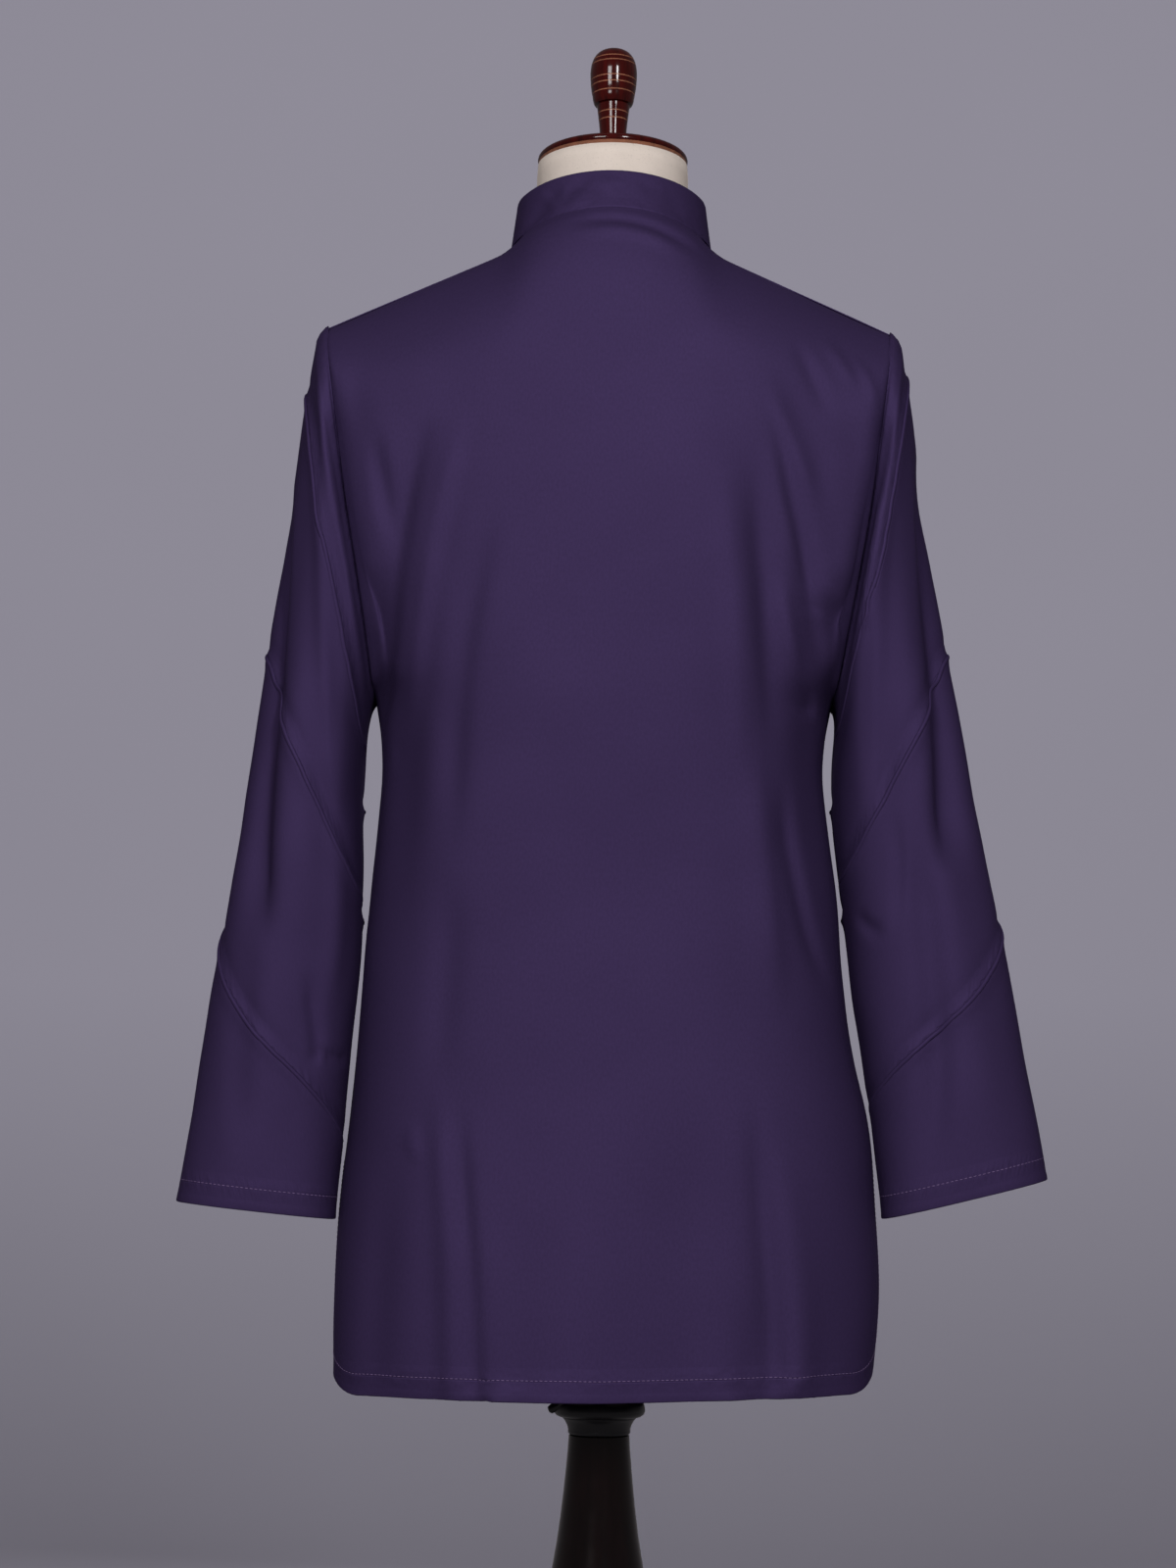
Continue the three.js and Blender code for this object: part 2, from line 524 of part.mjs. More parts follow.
function buttons() {
  const pieces = [];
  const lowest = riseValues.findIndex((rise) => rise > PLACKET_BOTTOM_RISE) + 1;
  const highest = topRow - BUTTON_TOP_ROOM;
  for (let n = 0; n < BUTTONS; n += 1) {
    const row = THREE.MathUtils.lerp(lowest, highest, n / (BUTTONS - 1));
    const place = onGrid(front.outer, centreColumn, row, false);
    const above = onGrid(front.outer, centreColumn, row + BUTTON_SPAN, false);
    const below = onGrid(front.outer, centreColumn, row - BUTTON_SPAN, false);
    const up = above.sub(below).normalize();
    const outward = new THREE.Vector3(1, 0, 0).cross(up).normalize();
    const geometry = new THREE.CylinderGeometry(BUTTON_RADIUS, BUTTON_RADIUS, BUTTON_THICK, 16);
    const mesh = new THREE.Mesh(geometry, buttonFinish());
    mesh.name = `button_${n + 1}`;
    mesh.position.copy(place).addScaledVector(outward, 2 * SEAT + PLACKET_WALL + BUTTON_THICK / 2);
    mesh.quaternion.setFromUnitVectors(new THREE.Vector3(0, 1, 0), outward);
    pieces.push(mesh);
  }
  return pieces;
}

// ---------------------------------------------------------------- sleeves and tucks

// The armhole's seam line on one hand, from the shoulder tip down behind to the armpit and up before it.
function armholeLoop(hand) {
  const column = hand > 0 ? acrossValues.length - 1 : 0;
  const loop = [];
  for (let i = 0; i < SLEEVE_COLUMNS; i += 1) {
    const row = i <= UPPER_ROWS ? topRow - i : topRow - (SLEEVE_COLUMNS - i);
    const point = (i <= UPPER_ROWS ? back : front).outer[column][row].clone();
    if (i === 0 || i === UPPER_ROWS) point.y = 0;
    loop.push(point);
  }
  return loop;
}

function sleeveFold(degrees, t) {
  let height = 0;
  for (const fold of SLEEVE_FOLDS) {
    const along = (t - fold.start) / (fold.end - fold.start);
    const away = (degrees - fold.around - fold.drift * along) / fold.width;
    const fade = smooth(along * SLEEVE_FOLD_FADE) * smooth((1 - along) * SLEEVE_FOLD_FADE);
    height += fold.depth * fade * Math.exp(-(away ** 2));
  }
  return height;
}

function sleevePoint(hand, loop, i, t) {
  const rows = SLEEVES[hand > 0 ? "left" : "right"];
  const value = (column) => fromTable(rows, "t", t, column);
  const around = (2 * Math.PI * i) / SLEEVE_COLUMNS;
  const turn = (360 * i) / SLEEVE_COLUMNS;
  const degrees = i <= UPPER_ROWS ? turn : turn - 360;
  const fold = sleeveFold(degrees, t);
  const outward = signedPower(Math.cos(around), SLEEVE_SQUARENESS);
  const behind = signedPower(Math.sin(around), SLEEVE_SQUARENESS);
  const middleX = (value("outerX") + value("innerX")) / 2;
  const middleZ = (value("outerZ") + value("innerZ")) / 2;
  const halfX = (value("outerX") - value("innerX")) / 2;
  const halfZ = (value("outerZ") - value("innerZ")) / 2;
  const station = new THREE.Vector3(
    hand * (middleX + halfX * outward),
    value("back") + (value("depth") + fold) * behind,
    middleZ + halfZ * outward,
  );
  const seam = loop[i].clone();
  seam.x += hand * (SEAM + SLEEVE_SHIFT * t);
  return seam.lerp(station, smooth(t / SLEEVE_BLEND));
}

function sleeveGrids(hand) {
  const loop = armholeLoop(hand);
  const outer = [];
  for (let i = 0; i < SLEEVE_COLUMNS; i += 1) {
    outer.push([]);
    for (let k = 0; k <= SLEEVE_ROWS; k += 1) {
      outer[i].push(sleevePoint(hand, loop, i, (k / SLEEVE_ROWS) ** SLEEVE_EASING));
    }
  }
  const inner = outer.map((column, i) => column.map((point, k) => {
    const normal = gridNormal(outer, i, k, hand);
    if (k === 0) normal.x = hand * Math.min(0, hand * normal.x);
    return point.clone().addScaledVector(normal.normalize(), -CLOTH);
  }));
  return { outer, inner };
}

// The outward normal of a closed grid at one of its points.
function gridNormal(grid, i, k, hand) {
  const columns = grid.length;
  const last = grid[0].length - 1;
  const around = grid[(i + 1) % columns][k].clone().sub(grid[(i + columns - 1) % columns][k]);
  const along = grid[i][Math.min(last, k + 1)].clone().sub(grid[i][Math.max(0, k - 1)]);
  return along.cross(around).multiplyScalar(-hand).normalize();
}

// A row number of the sleeve's grid at a place t along it.
const sleeveRow = (t) => SLEEVE_ROWS * t ** (1 / SLEEVE_EASING);

// A tuck follows its line once round the sleeve's grid and ends a little before the underarm seam.
function tuck(hand, grid, row) {
  const side = hand > 0 ? "left" : "right";
  const places = [TUCK_END - UPPER_ROWS];
  for (let i = 1 - UPPER_ROWS; i < UPPER_ROWS; i += 1) {
    places.push(i);
  }
  places.push(UPPER_ROWS - TUCK_END);
  const outer = [[], []];
  const inner = [[], []];
  for (const i of places) {
    const share = Math.abs(i) / UPPER_ROWS;
    const t = THREE.MathUtils.lerp(row.outer, i < 0 ? row.front : row.back, share);
    const centre = sleeveRow(t);
    const above = onGrid(grid, i, centre - TUCK_STEP, true);
    const below = onGrid(grid, i, centre + TUCK_STEP, true);
    const along = below.sub(above);
    const halfRows = (TUCK_HALF * 2 * TUCK_STEP) / along.length();
    const around = onGrid(grid, i + TUCK_STEP, centre, true).sub(onGrid(grid, i - TUCK_STEP, centre, true));
    const normal = along.cross(around).multiplyScalar(-hand).normalize();
    [centre - halfRows, centre + halfRows].forEach((place, k) => {
      const point = onGrid(grid, i, place, true);
      outer[k].push(point.clone().addScaledVector(normal, SEAT + TUCK_HEIGHT));
      inner[k].push(point.clone().addScaledVector(normal, SEAT));
    });
  }
  return wall(`tuck_${side}_${row.name}`, outer, inner, false, clothFinish());
}

function sleeves() {
  const pieces = [];
  for (const hand of [1, -1]) {
    const side = hand > 0 ? "left" : "right";
    const grids = sleeveGrids(hand);
    pieces.push(wall(`sleeve_${side}`, grids.outer, grids.inner, true, clothFinish()));
    TUCKS[side].forEach((row) => pieces.push(tuck(hand, grids.outer, row)));
  }
  return pieces;
}

// ---------------------------------------------------------------- the form

// A point of the form's skin, under the cloth. It touches the cloth's wall along the shoulder seams.
function torsoPoint(side, across, rise) {
  const point = plainPoint(side, across, rise);
  const share = Math.abs(across);
  const below = topHeight(side, share) - point.z;
  const nearNeck = 1 - smooth((share - COLUMN_SHARES[NECK_COLUMN]) / NECK_ROOM_SHARE);
  const ease = CLOTH + SEAT + TORSO_EASE * smooth(below / TORSO_EASE_HEIGHT) + NECK_ROOM * nearNeck;
  const inward = plainNormal(side, across, rise).negate();
  inward.lerp(new THREE.Vector3(0, -side, -1).normalize(), nearNeck).normalize();
  point.addScaledVector(inward, ease);
  if (rise === 2 && share >= COLUMN_SHARES[NECK_COLUMN]) point.y = 0;
  if (rise === 2 && share <= COLUMN_SHARES[NECK_COLUMN]) {
    const toNeck = new THREE.Vector3(-point.x, NECK_Y - point.y, 0).normalize();
    point.addScaledVector(toNeck, NECK_ROOM / 2);
  }
  return point;
}

function torsoShares() {
  const shares = [...COLUMN_SHARES.filter((share) => share < 0.9), TORSO_SIDE];
  return [...shares.slice(1).reverse().map((share) => -share), ...shares];
}

function formTorso() {
  const shares = torsoShares();
  const middle = (shares.length - 1) / 2;
  const firstRise = (TORSO_BOTTOM_Z - HEM_Z) / (ARMPIT_Z - HEM_Z);
  const rises = [];
  for (let k = 0; k < TORSO_LOWER_RINGS; k += 1) {
    rises.push(THREE.MathUtils.lerp(firstRise, 1, k / TORSO_LOWER_RINGS));
  }
  rises.push(...riseValues.slice(LOWER_ROWS, topRow));
  const points = [];
  const faces = [];
  const add = (point) => points.push(point) - 1;
  const ringAt = (rise) => {
    const behind = shares.map((across) => add(torsoPoint(1, across, rise)));
    const before = [...shares].reverse().map((across) => add(torsoPoint(-1, across, rise)));
    return [...behind, ...before];
  };
  const join = (low, high) => low.forEach((_, i) => {
    const next = (i + 1) % low.length;
    if (low[i] !== low[next]) faces.push([low[i], low[next], high[next]]);
    if (high[i] !== high[next]) faces.push([low[i], high[next], high[i]]);
  });
  const rings = rises.map(ringAt);
  rings[0].forEach((index) => points[index].setZ(TORSO_BOTTOM_Z));
  for (let k = 1; k < rings.length; k += 1) {
    join(rings[k - 1], rings[k]);
  }

  // The shoulder ridges, where the back and front meet, and the neckline between them.
  const count = shares.length;
  const ridge = shares.map((across) => add(torsoPoint(1, across, 2)));
  const ridgeFront = shares.map((across, i) => (
    Math.abs(i - middle) >= NECK_COLUMN ? ridge[i] : add(torsoPoint(-1, across, 2))));
  const topRing = [...ridge, ...[...ridgeFront].reverse()];
  const lastRing = rings[rings.length - 1];
  for (let i = 0; i < 2 * count; i += 1) {
    const next = (i + 1) % (2 * count);
    faces.push([lastRing[i], lastRing[next], topRing[next]]);
    if (topRing[i] !== topRing[next]) faces.push([lastRing[i], topRing[next], topRing[i]]);
  }

  // The neck, from the neckline up to its flat top.
  const neckline = [];
  for (let i = middle - NECK_COLUMN; i <= middle + NECK_COLUMN; i += 1) {
    neckline.push(ridge[i]);
  }
  for (let i = middle + NECK_COLUMN - 1; i > middle - NECK_COLUMN; i -= 1) {
    neckline.push(ridgeFront[i]);
  }
  let ring = neckline;
  for (const { round, rise } of NECK_RINGS) {
    const upper = neckline.map((index) => {
      const foot = points[index];
      const angle = Math.atan2(foot.y - NECK_Y, foot.x);
      const x = THREE.MathUtils.lerp(foot.x, NECK_RADIUS * Math.cos(angle), round);
      const y = THREE.MathUtils.lerp(foot.y, NECK_Y + NECK_RADIUS * Math.sin(angle), round);
      return add(new THREE.Vector3(x, y, THREE.MathUtils.lerp(foot.z, NECK_TOP_Z, rise)));
    });
    join(ring, upper);
    ring = upper;
  }
  const bottomCentre = add(new THREE.Vector3(0, 0, TORSO_BOTTOM_Z));
  rings[0].forEach((index, i) => faces.push([rings[0][(i + 1) % rings[0].length], index, bottomCentre]));
  const topCentre = add(new THREE.Vector3(0, NECK_Y, NECK_TOP_Z));
  ring.forEach((index, i) => faces.push([index, ring[(i + 1) % ring.length], topCentre]));
  return solid("form_torso", points, outwardFaces(points, faces), canvasFinish());
}

function neckCap() {
  const mesh = turned("neck_cap", NECK_CAP_PROFILE, 28, lacquerFinish());
  mesh.position.y = NECK_Y;
  return mesh;
}

function finial() {
  const mesh = turned("finial", FINIAL_PROFILE, 18, lacquerFinish());
  mesh.position.y = NECK_Y;
  return mesh;
}

// ---------------------------------------------------------------- the stand

function mast() {
  const flangeTop = TORSO_BOTTOM_Z - SEAM;
  const flangeBottom = flangeTop - FLANGE_THICK;
  const profile = [
    [0, MAST_BOTTOM_Z], [MAST_RADIUS, MAST_BOTTOM_Z], [MAST_RADIUS, flangeBottom],
    [FLANGE_RADIUS, flangeBottom], [FLANGE_RADIUS, flangeTop], [0, flangeTop],
  ];
  return turned("mast", profile, 24, steelFinish());
}

function mastClamp() {
  const outline = new THREE.Shape();
  const lugAngle = Math.asin(LUG_HALF / CLAMP_RADIUS);
  outline.absarc(0, 0, CLAMP_RADIUS, Math.PI / 2 + lugAngle, Math.PI / 2 - lugAngle + 2 * Math.PI, false);
  outline.lineTo(LUG_HALF, LUG_REACH);
  outline.lineTo(-LUG_HALF, LUG_REACH);
  outline.closePath();
  const bore = new THREE.Path();
  bore.absarc(0, 0, BORE_RADIUS, 0, 2 * Math.PI, true);
  outline.holes.push(bore);
  const extrusion = { depth: CLAMP_HEIGHT, bevelEnabled: false, curveSegments: 20 };
  const geometry = new THREE.ExtrudeGeometry(outline, extrusion);
  const mesh = new THREE.Mesh(geometry, blackFinish());
  mesh.name = "mast_clamp";
  mesh.position.z = CAP_TOP_Z + SEAM;
  return mesh;
}

function asManifold(geometry) {
  geometry.deleteAttribute("normal");
  geometry.deleteAttribute("uv");
  const merged = mergeVertices(geometry);
  return new wasm.Manifold(new wasm.Mesh({
    numProp: 3,
    vertProperties: new Float32Array(merged.attributes.position.array),
    triVerts: new Uint32Array(merged.index.array),
  }));
}

// A cam lever on the clamp's lug: a round boss with a thin rod that points down to the left.
function clampLever() {
  const bossMiddle = LUG_REACH + SEAM + LEVER_BOSS_LENGTH / 2;
  const boss = new THREE.CylinderGeometry(LEVER_BOSS_RADIUS, LEVER_BOSS_RADIUS, LEVER_BOSS_LENGTH, 20);
  boss.translate(0, bossMiddle, LEVER_Z);
  const rod = new THREE.CylinderGeometry(LEVER_ROD_RADIUS, LEVER_ROD_RADIUS, LEVER_LENGTH, 12);
  rod.translate(0, LEVER_LENGTH / 2, 0);
  rod.rotateZ(-Math.PI / 2);
  rod.rotateY(THREE.MathUtils.degToRad(LEVER_SLOPE));
  rod.translate(0, bossMiddle, LEVER_Z);
  const joined = asManifold(boss).add(asManifold(rod)).getMesh();
  const geometry = new THREE.BufferGeometry();
  geometry.setAttribute("position", new THREE.BufferAttribute(new Float32Array(joined.vertProperties), 3));
  geometry.setIndex(new THREE.BufferAttribute(new Uint32Array(joined.triVerts), 1));
  const mesh = new THREE.Mesh(geometry, blackFinish());
  mesh.name = "clamp_lever";
  return mesh;
}

// The column is bored from its top down to the bottom of the mast's travel, and solid below that.
function column() {
  const top = COLUMN_PROFILE[COLUMN_PROFILE.length - 1][1];
  const foot = COLUMN_PROFILE[0][1];
  const bore = [[BORE_RADIUS, top], [BORE_RADIUS, BORE_BOTTOM_Z], [0, BORE_BOTTOM_Z]];
  return turned("column", [[0, foot], ...COLUMN_PROFILE, ...bore], 20, darkWoodFinish());
}

function stand() {
  return [
    turned("base", BASE_PROFILE, 32, darkWoodFinish()),
    column(),
    turned("ferrule", bored(FERRULE_PROFILE, BORE_RADIUS), 24, blackFinish()),
    turned("column_cap", bored(CAP_PROFILE, BORE_RADIUS), 24, blackFinish()),
    mastClamp(),
    clampLever(),
  ];
}

// ---------------------------------------------------------------- the whole object

const kurta = new THREE.Group();
kurta.add(
  wall("panel_back", back.outer, back.inner, false, clothFinish()),
  wall("panel_front", front.outer, front.inner, false, clothFinish()),
  standCollar(),
  placket(),
  ...buttons(),
  ...sleeves(),
);
const form = new THREE.Group();
form.add(formTorso(), neckCap(), finial(), mast());
const group = new THREE.Group();
group.add(kurta, form, ...stand());

export default group;
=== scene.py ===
import math
from collections import namedtuple
from contextlib import contextmanager
from copy import deepcopy

import bmesh
import bpy
import numpy as np
from bpy.props import FloatProperty, FloatVectorProperty, IntProperty, PointerProperty
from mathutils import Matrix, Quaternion, Vector, noise
from mathutils.bvhtree import BVHTree


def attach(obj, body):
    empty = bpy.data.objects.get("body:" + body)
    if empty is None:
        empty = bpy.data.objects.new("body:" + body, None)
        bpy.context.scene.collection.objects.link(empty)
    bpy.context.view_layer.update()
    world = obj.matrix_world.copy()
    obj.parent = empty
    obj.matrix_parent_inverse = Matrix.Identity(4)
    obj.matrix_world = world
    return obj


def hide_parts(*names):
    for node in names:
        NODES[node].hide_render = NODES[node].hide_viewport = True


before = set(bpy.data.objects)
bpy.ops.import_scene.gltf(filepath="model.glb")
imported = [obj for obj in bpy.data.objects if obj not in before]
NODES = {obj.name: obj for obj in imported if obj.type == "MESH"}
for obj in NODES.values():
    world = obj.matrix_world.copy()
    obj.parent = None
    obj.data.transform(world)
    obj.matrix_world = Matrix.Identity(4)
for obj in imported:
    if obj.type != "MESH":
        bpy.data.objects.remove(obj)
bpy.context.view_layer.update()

bl_info = {
    "name": "Short kurta on a dress form",
    "version": (1, 0, 0),
    "blender": (4, 5, 0),
    "location": "3D View > Sidebar > Kurta",
    "description": "Cloth, sewing, turned wood and metal around the packed kurta",
    "category": "Add Mesh",
}

MM = 0.001
AXIS_Y = -6 * MM  # the neck, its cap and the finial stand this far before the mast
BACK = Vector((0, 1, 0))
FRONT = Vector((0, -1, 0))
LEFT = Vector((1, 0, 0))
RIGHT = Vector((-1, 0, 0))
HEM_HEIGHT = 610 * MM
SLIT_TOP = 787 * MM
ARMPIT = 1140 * MM
ARMHOLE_LOW, ARMHOLE_TOP = 1145 * MM, 1410 * MM  # the stretch over which the armhole seam is drawn in
FAR = 60 * MM  # this far from all sewing, the cloth shows none of it
ON_CLOTH = 0.1 * MM  # the stitches' middle lies this high over the cloth
UNDER_SEAM = 1.5  # depth of the cloth that runs on under a seam, in thicknesses of the cloth
TURNED_IN = 2.3  # depth of a hem's inner layer, in thicknesses of the cloth
HEM_EDGE = 1.5 * MM  # cloth between a hem's stitches and its inner layer's edge


# ------------------------------------------------------------------ sizes and colours


def length(name, description, default):
    return FloatProperty(name=name, description=description, default=default, min=0, unit="LENGTH")


def colour(name, description, default):
    return FloatVectorProperty(
        name=name, description=description, default=default, size=3, min=0, max=1, subtype="COLOR"
    )


def factor(name, description, default, most=1.0):
    return FloatProperty(
        name=name, description=description, default=default, min=0, max=most, subtype="FACTOR"
    )


def tilt(name, description, degrees):
    return FloatProperty(name=name, description=description, default=math.radians(degrees), subtype="ANGLE")


class ClothSettings(bpy.types.PropertyGroup):
    """Sizes and colours of the kurta's cloth and sewing."""

    wall: length("Cloth", "Thickness of the cloth", 0.9 * MM)
    cell: length("Cell", "Size of a mesh cell of the panels and sleeves", 4.6 * MM)
    hem: length("Hem", "Width of the turned up hem", 15 * MM)
    facing: length("Slit facing", "Width of the facing along the side slits", 8 * MM)
    cuff: length("Cuff hem", "Width of the turned up hem at the cuffs", 16 * MM)
    stitch: length("Stitch", "Length of one stitch", 2.5 * MM)
    gap: length("Stitch gap", "Cloth between two stitches", 1.1 * MM)
    thread: length("Thread", "Thickness of the thread", 0.45 * MM)
    yarn: length("Yarn", "Distance between two yarns of the weave", 0.42 * MM)
    lap: length("Seam lap", "Cloth that runs on under a seam of the panels", 7 * MM)
    sleeve_lap: length("Sleeve lap", "Cloth of the sleeves that runs on under the panels", 6 * MM)
    crease: factor("Creases", "Share of the creases' full depth", 1, 2)
    colour: colour("Cloth colour", "Colour of the cloth", (0.0475, 0.0300, 0.0880))
    lustre: factor("Lustre", "Share of the cloth's light that its smooth yarns reflect", 0.5)
    thread_colour: colour("Thread colour", "Colour of the sewing thread", (0.20, 0.13, 0.27))
    button_colour: colour("Button colour", "Colour of the buttons", (0.030, 0.020, 0.055))


class FormSettings(bpy.types.PropertyGroup):
    """Sizes and colours of the dress form and its stand."""

    turns: IntProperty(name="Facets", description="Facets round a turned piece", default=72, min=12)
    canvas: colour("Canvas", "Colour of the form's canvas", (0.70, 0.61, 0.54))
    lacquer: colour("Lacquer", "Colour of the neck cap and finial", (0.050, 0.0022, 0.0014))
    groove: colour("Grooves", "Colour of the bare wood in the grooves", (0.30, 0.12, 0.07))
    wood: colour("Dark wood", "Colour of the column and base", (0.0042, 0.0016, 0.0016))
    black: colour("Black", "Colour of the painted metal", (0.006, 0.006, 0.008))
    steel: colour("Steel", "Colour of the mast", (0.52, 0.53, 0.55))


class StageSettings(bpy.types.PropertyGroup):
    """The camera, the lights and the floor."""

    lens: FloatProperty(name="Lens", description="Focal length in millimetres", default=65.25, min=1)
    eye: FloatVectorProperty(
        name="Camera",
        description="Place of the camera",
        default=(0.0143, 2.230, 0.800),
        subtype="TRANSLATION",
    )
    pitch: tilt("Pitch", "Upward tilt", 7.07)
    roll: tilt("Roll", "Lean of the camera", 0.665)
    room: length("Room", "Radius of the flat part of the floor", 3.3)
    floor: colour("Floor", "Colour of the floor and the wall", (0.40, 0.385, 0.46))


# ------------------------------------------------------------------ objects and modifiers


def deselect_all():
    for obj in list(bpy.context.selected_objects):
        obj.select_set(False)


def make_active(obj):
    deselect_all()
    obj.select_set(True)
    bpy.context.view_layer.objects.active = obj


def new_object(name, data):
    obj = bpy.data.objects.new(name, data)
    bpy.context.scene.collection.objects.link(obj)
    return obj


@contextmanager
def editing(obj):
    """Edit mode, with the whole mesh selected."""
    make_active(obj)
    bpy.ops.object.mode_set(mode="EDIT")
    bpy.ops.mesh.select_all(action="SELECT")
    yield
    bpy.ops.object.mode_set(mode="OBJECT")


def finish_modifier(obj, kind, **values):
    """Adds a modifier with its values and applies it."""
    modifier = obj.modifiers.new(kind.title(), kind)
    for name, value in values.items():
        setattr(modifier, name, value)
    make_active(obj)
    bpy.ops.object.modifier_apply(modifier=modifier.name)


def remove(obj):
    bpy.data.objects.remove(obj, do_unlink=True)


def settle(obj, body, material=None):
    """Applies the piece's place, and lets it ride on its body with its finish."""
    make_active(obj)
    bpy.ops.object.transform_apply(location=True, rotation=True, scale=True)
    if material:
        obj.data.materials.clear()
        obj.data.materials.append(material)
    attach(obj, body)


def join(pieces, name):
    deselect_all()
    for piece in pieces:
        piece.select_set(True)
    bpy.context.view_layer.objects.active = pieces[0]
    if len(pieces) > 1:
        bpy.ops.object.join()
    pieces[0].name = name
    return pieces[0]


def smooth_faces(obj, degrees=35):
    make_active(obj)
    bpy.ops.object.shade_smooth_by_angle(angle=math.radians(degrees))


def ease(value):
    """0 below 0, 1 above 1, and a smooth rise between them."""
    value = np.clip(value, 0, 1)
    return value * value * (3 - 2 * value)


# ------------------------------------------------------------------ the frame's sheets as rows of points


def merged_copy(node):
    """A node's mesh as an object of its own, with its faces joined at their corners."""
    copy = new_object(f"{node}_copy", NODES[node].data.copy())
    with editing(copy):
        bpy.ops.mesh.remove_doubles(threshold=0.01 * MM)
    return copy


def outer_sheet(node, toward, sharp=42):
    """The faces of a node's wall on the side that looks toward a direction, as a bmesh."""
    copy = merged_copy(node)
    bm = bmesh.new()
    bm.from_mesh(copy.data)
    remove(copy)
    bm.normal_update()
    facing = [face for face in bm.faces if face.normal.dot(toward) > 0.8]
    start = max(facing, key=lambda face: face.calc_center_median().dot(toward))
    found, waiting = {start}, [start]
    while waiting:
        face = waiting.pop()
        for edge in face.edges:
            for other in edge.link_faces:
                if other not in found and face.normal.angle(other.normal, 0) < math.radians(sharp):
                    found.add(other)
                    waiting.append(other)
    held = {vertex for face in found for vertex in face.verts}
    found.update(face for face in bm.faces if held.issuperset(face.verts))
    bmesh.ops.delete(bm, geom=[face for face in bm.faces if face not in found], context="FACES")
    return bm


def border_neighbours(vertex):
    return [edge.other_vert(vertex) for edge in vertex.link_edges if edge.is_boundary]


def walk_border(start, second, stop):
    """The border's vertices from start, by way of second, as far as stop."""
    path = [start, second]
    while path[-1] is not stop:
        path.append(next(v for v in border_neighbours(path[-1]) if v is not path[-2]))
    return path


def next_row(bm, low, used, done, closed):
    """The row of vertices beyond a row of a triangulated sheet, whichever way its cells are cut."""
    first = low[0]
    options = [edge for edge in first.link_edges if edge.other_vert(first) not in used]
    if not options:
        return None
    tangent = (low[1].co - first.co).normalized()

    def leaning(edge):
        return not edge.is_boundary, abs((edge.other_vert(first).co - first.co).normalized().dot(tangent))

    high = [min(options, key=leaning).other_vert(first)]
    for i in range(len(low) if closed else len(low) - 1):
        a, b = low[i], low[(i + 1) % len(low)]
        face = next(f for f in bm.edges.get((a, b)).link_faces if f not in done)
        third = next(v for v in face.verts if v not in (a, b))
        if third is high[-1]:
            other = next(f for f in bm.edges.get((b, third)).link_faces if f is not face)
            third = next(v for v in other.verts if v not in (b, high[-1]))
        else:
            other = next(f for f in bm.edges.get((a, third)).link_faces if f is not face)
        done.update((face, other))
        high.append(third)
    return high[:-1] if closed else high


def sheet_rows(bm, row, closed=False):
    """All rows of a sheet as an array of rows by columns of points, from its first row on."""
    rows, used, done = [], set(), set()
    while row:
        rows.append([vertex.co[:] for vertex in row])
        used.update(row)
        row = next_row(bm, row, used, done, closed)
    return np.array(rows)


def border_corner(bm, score):
    """The border vertex with the lowest score."""
    return min((v for v in bm.verts if v.is_boundary), key=lambda v: score(v.co))


def panel_rows(node, toward):
    """A panel's rows from its hem up, each from the wearer's right to the left."""
    bm = outer_sheet(node, toward)
    start = border_corner(bm, lambda co: (co.z + 4 * abs(co.y)) if co.x < 0 else 9)
    stop = border_corner(bm, lambda co: (co.z + 4 * abs(co.y)) if co.x > 0 else 9)
    second = min(border_neighbours(start), key=lambda v: v.co.z)
    return sheet_rows(bm, walk_border(start, second, stop))


def sleeve_rows(node, outward):
    """A sleeve's rows from its armhole down, each from the shoulder round by the back."""
    bm = outer_sheet(node, outward)
    start = border_corner(bm, lambda co: -co.z)
    second = max(border_neighbours(start), key=lambda v: v.co.y)
    return sheet_rows(bm, walk_border(start, second, start)[:-1], closed=True)


def collar_rows(node):
    """The collar's rows from its seam up, each from its right front end round by the back to its left one."""
    bm = outer_sheet(node, BACK)
    start = border_corner(bm, lambda co: co.z if co.x < 0 else 9)
    stop = border_corner(bm, lambda co: co.z if co.x > 0 else 9)
    second = max(border_neighbours(start), key=lambda v: abs(v.co.x - start.co.x))
    return sheet_rows(bm, walk_border(start, second, stop))


# ------------------------------------------------------------------ smooth sheets through those points


def lengths_along(points):
    """The mean distance of each row of an array from its first row."""
    steps = np.linalg.norm(np.diff(points, axis=0), axis=-1)
    steps = steps.reshape(len(steps), -1).mean(axis=1)
    return np.concatenate([[0], np.cumsum(steps)])


def smooth_through(points, at, places):
    """Points on smooth lines through an array's points, with the corners among them kept."""
    step = np.diff(at)
    slopes = np.diff(points, axis=0) / step[:, None, None]
    before = np.concatenate([slopes[:1], slopes])
    after = np.concatenate([slopes, slopes[-1:]])
    step_before = np.concatenate([step[:1], step])[:, None, None]
    step_after = np.concatenate([step, step[-1:]])[:, None, None]
    middle = (step_after * before + step_before * after) / (step_before + step_after)
    lengths = np.linalg.norm(before, axis=-1) * np.linalg.norm(after, axis=-1)
    turn = (before * after).sum(axis=-1) / np.maximum(lengths, 1e-9)
    corner = ease((0.75 - turn) / 0.45)[:, :, None]
    arriving = middle + (before - middle) * corner
    leaving = middle + (after - middle) * corner
    i = np.clip(np.searchsorted(at, places, side="right") - 1, 0, len(at) - 2)
    width = step[i][:, None, None]
    f = ((places - at[i]) / step[i])[:, None, None]
    rise = 3 * f**2 - 2 * f**3
    start = (f**3 - 2 * f**2 + f) * width * leaving[i]
    end = (f**3 - f**2) * width * arriving[i + 1]
    return points[i] * (1 - rise) + points[i + 1] * rise + start + end


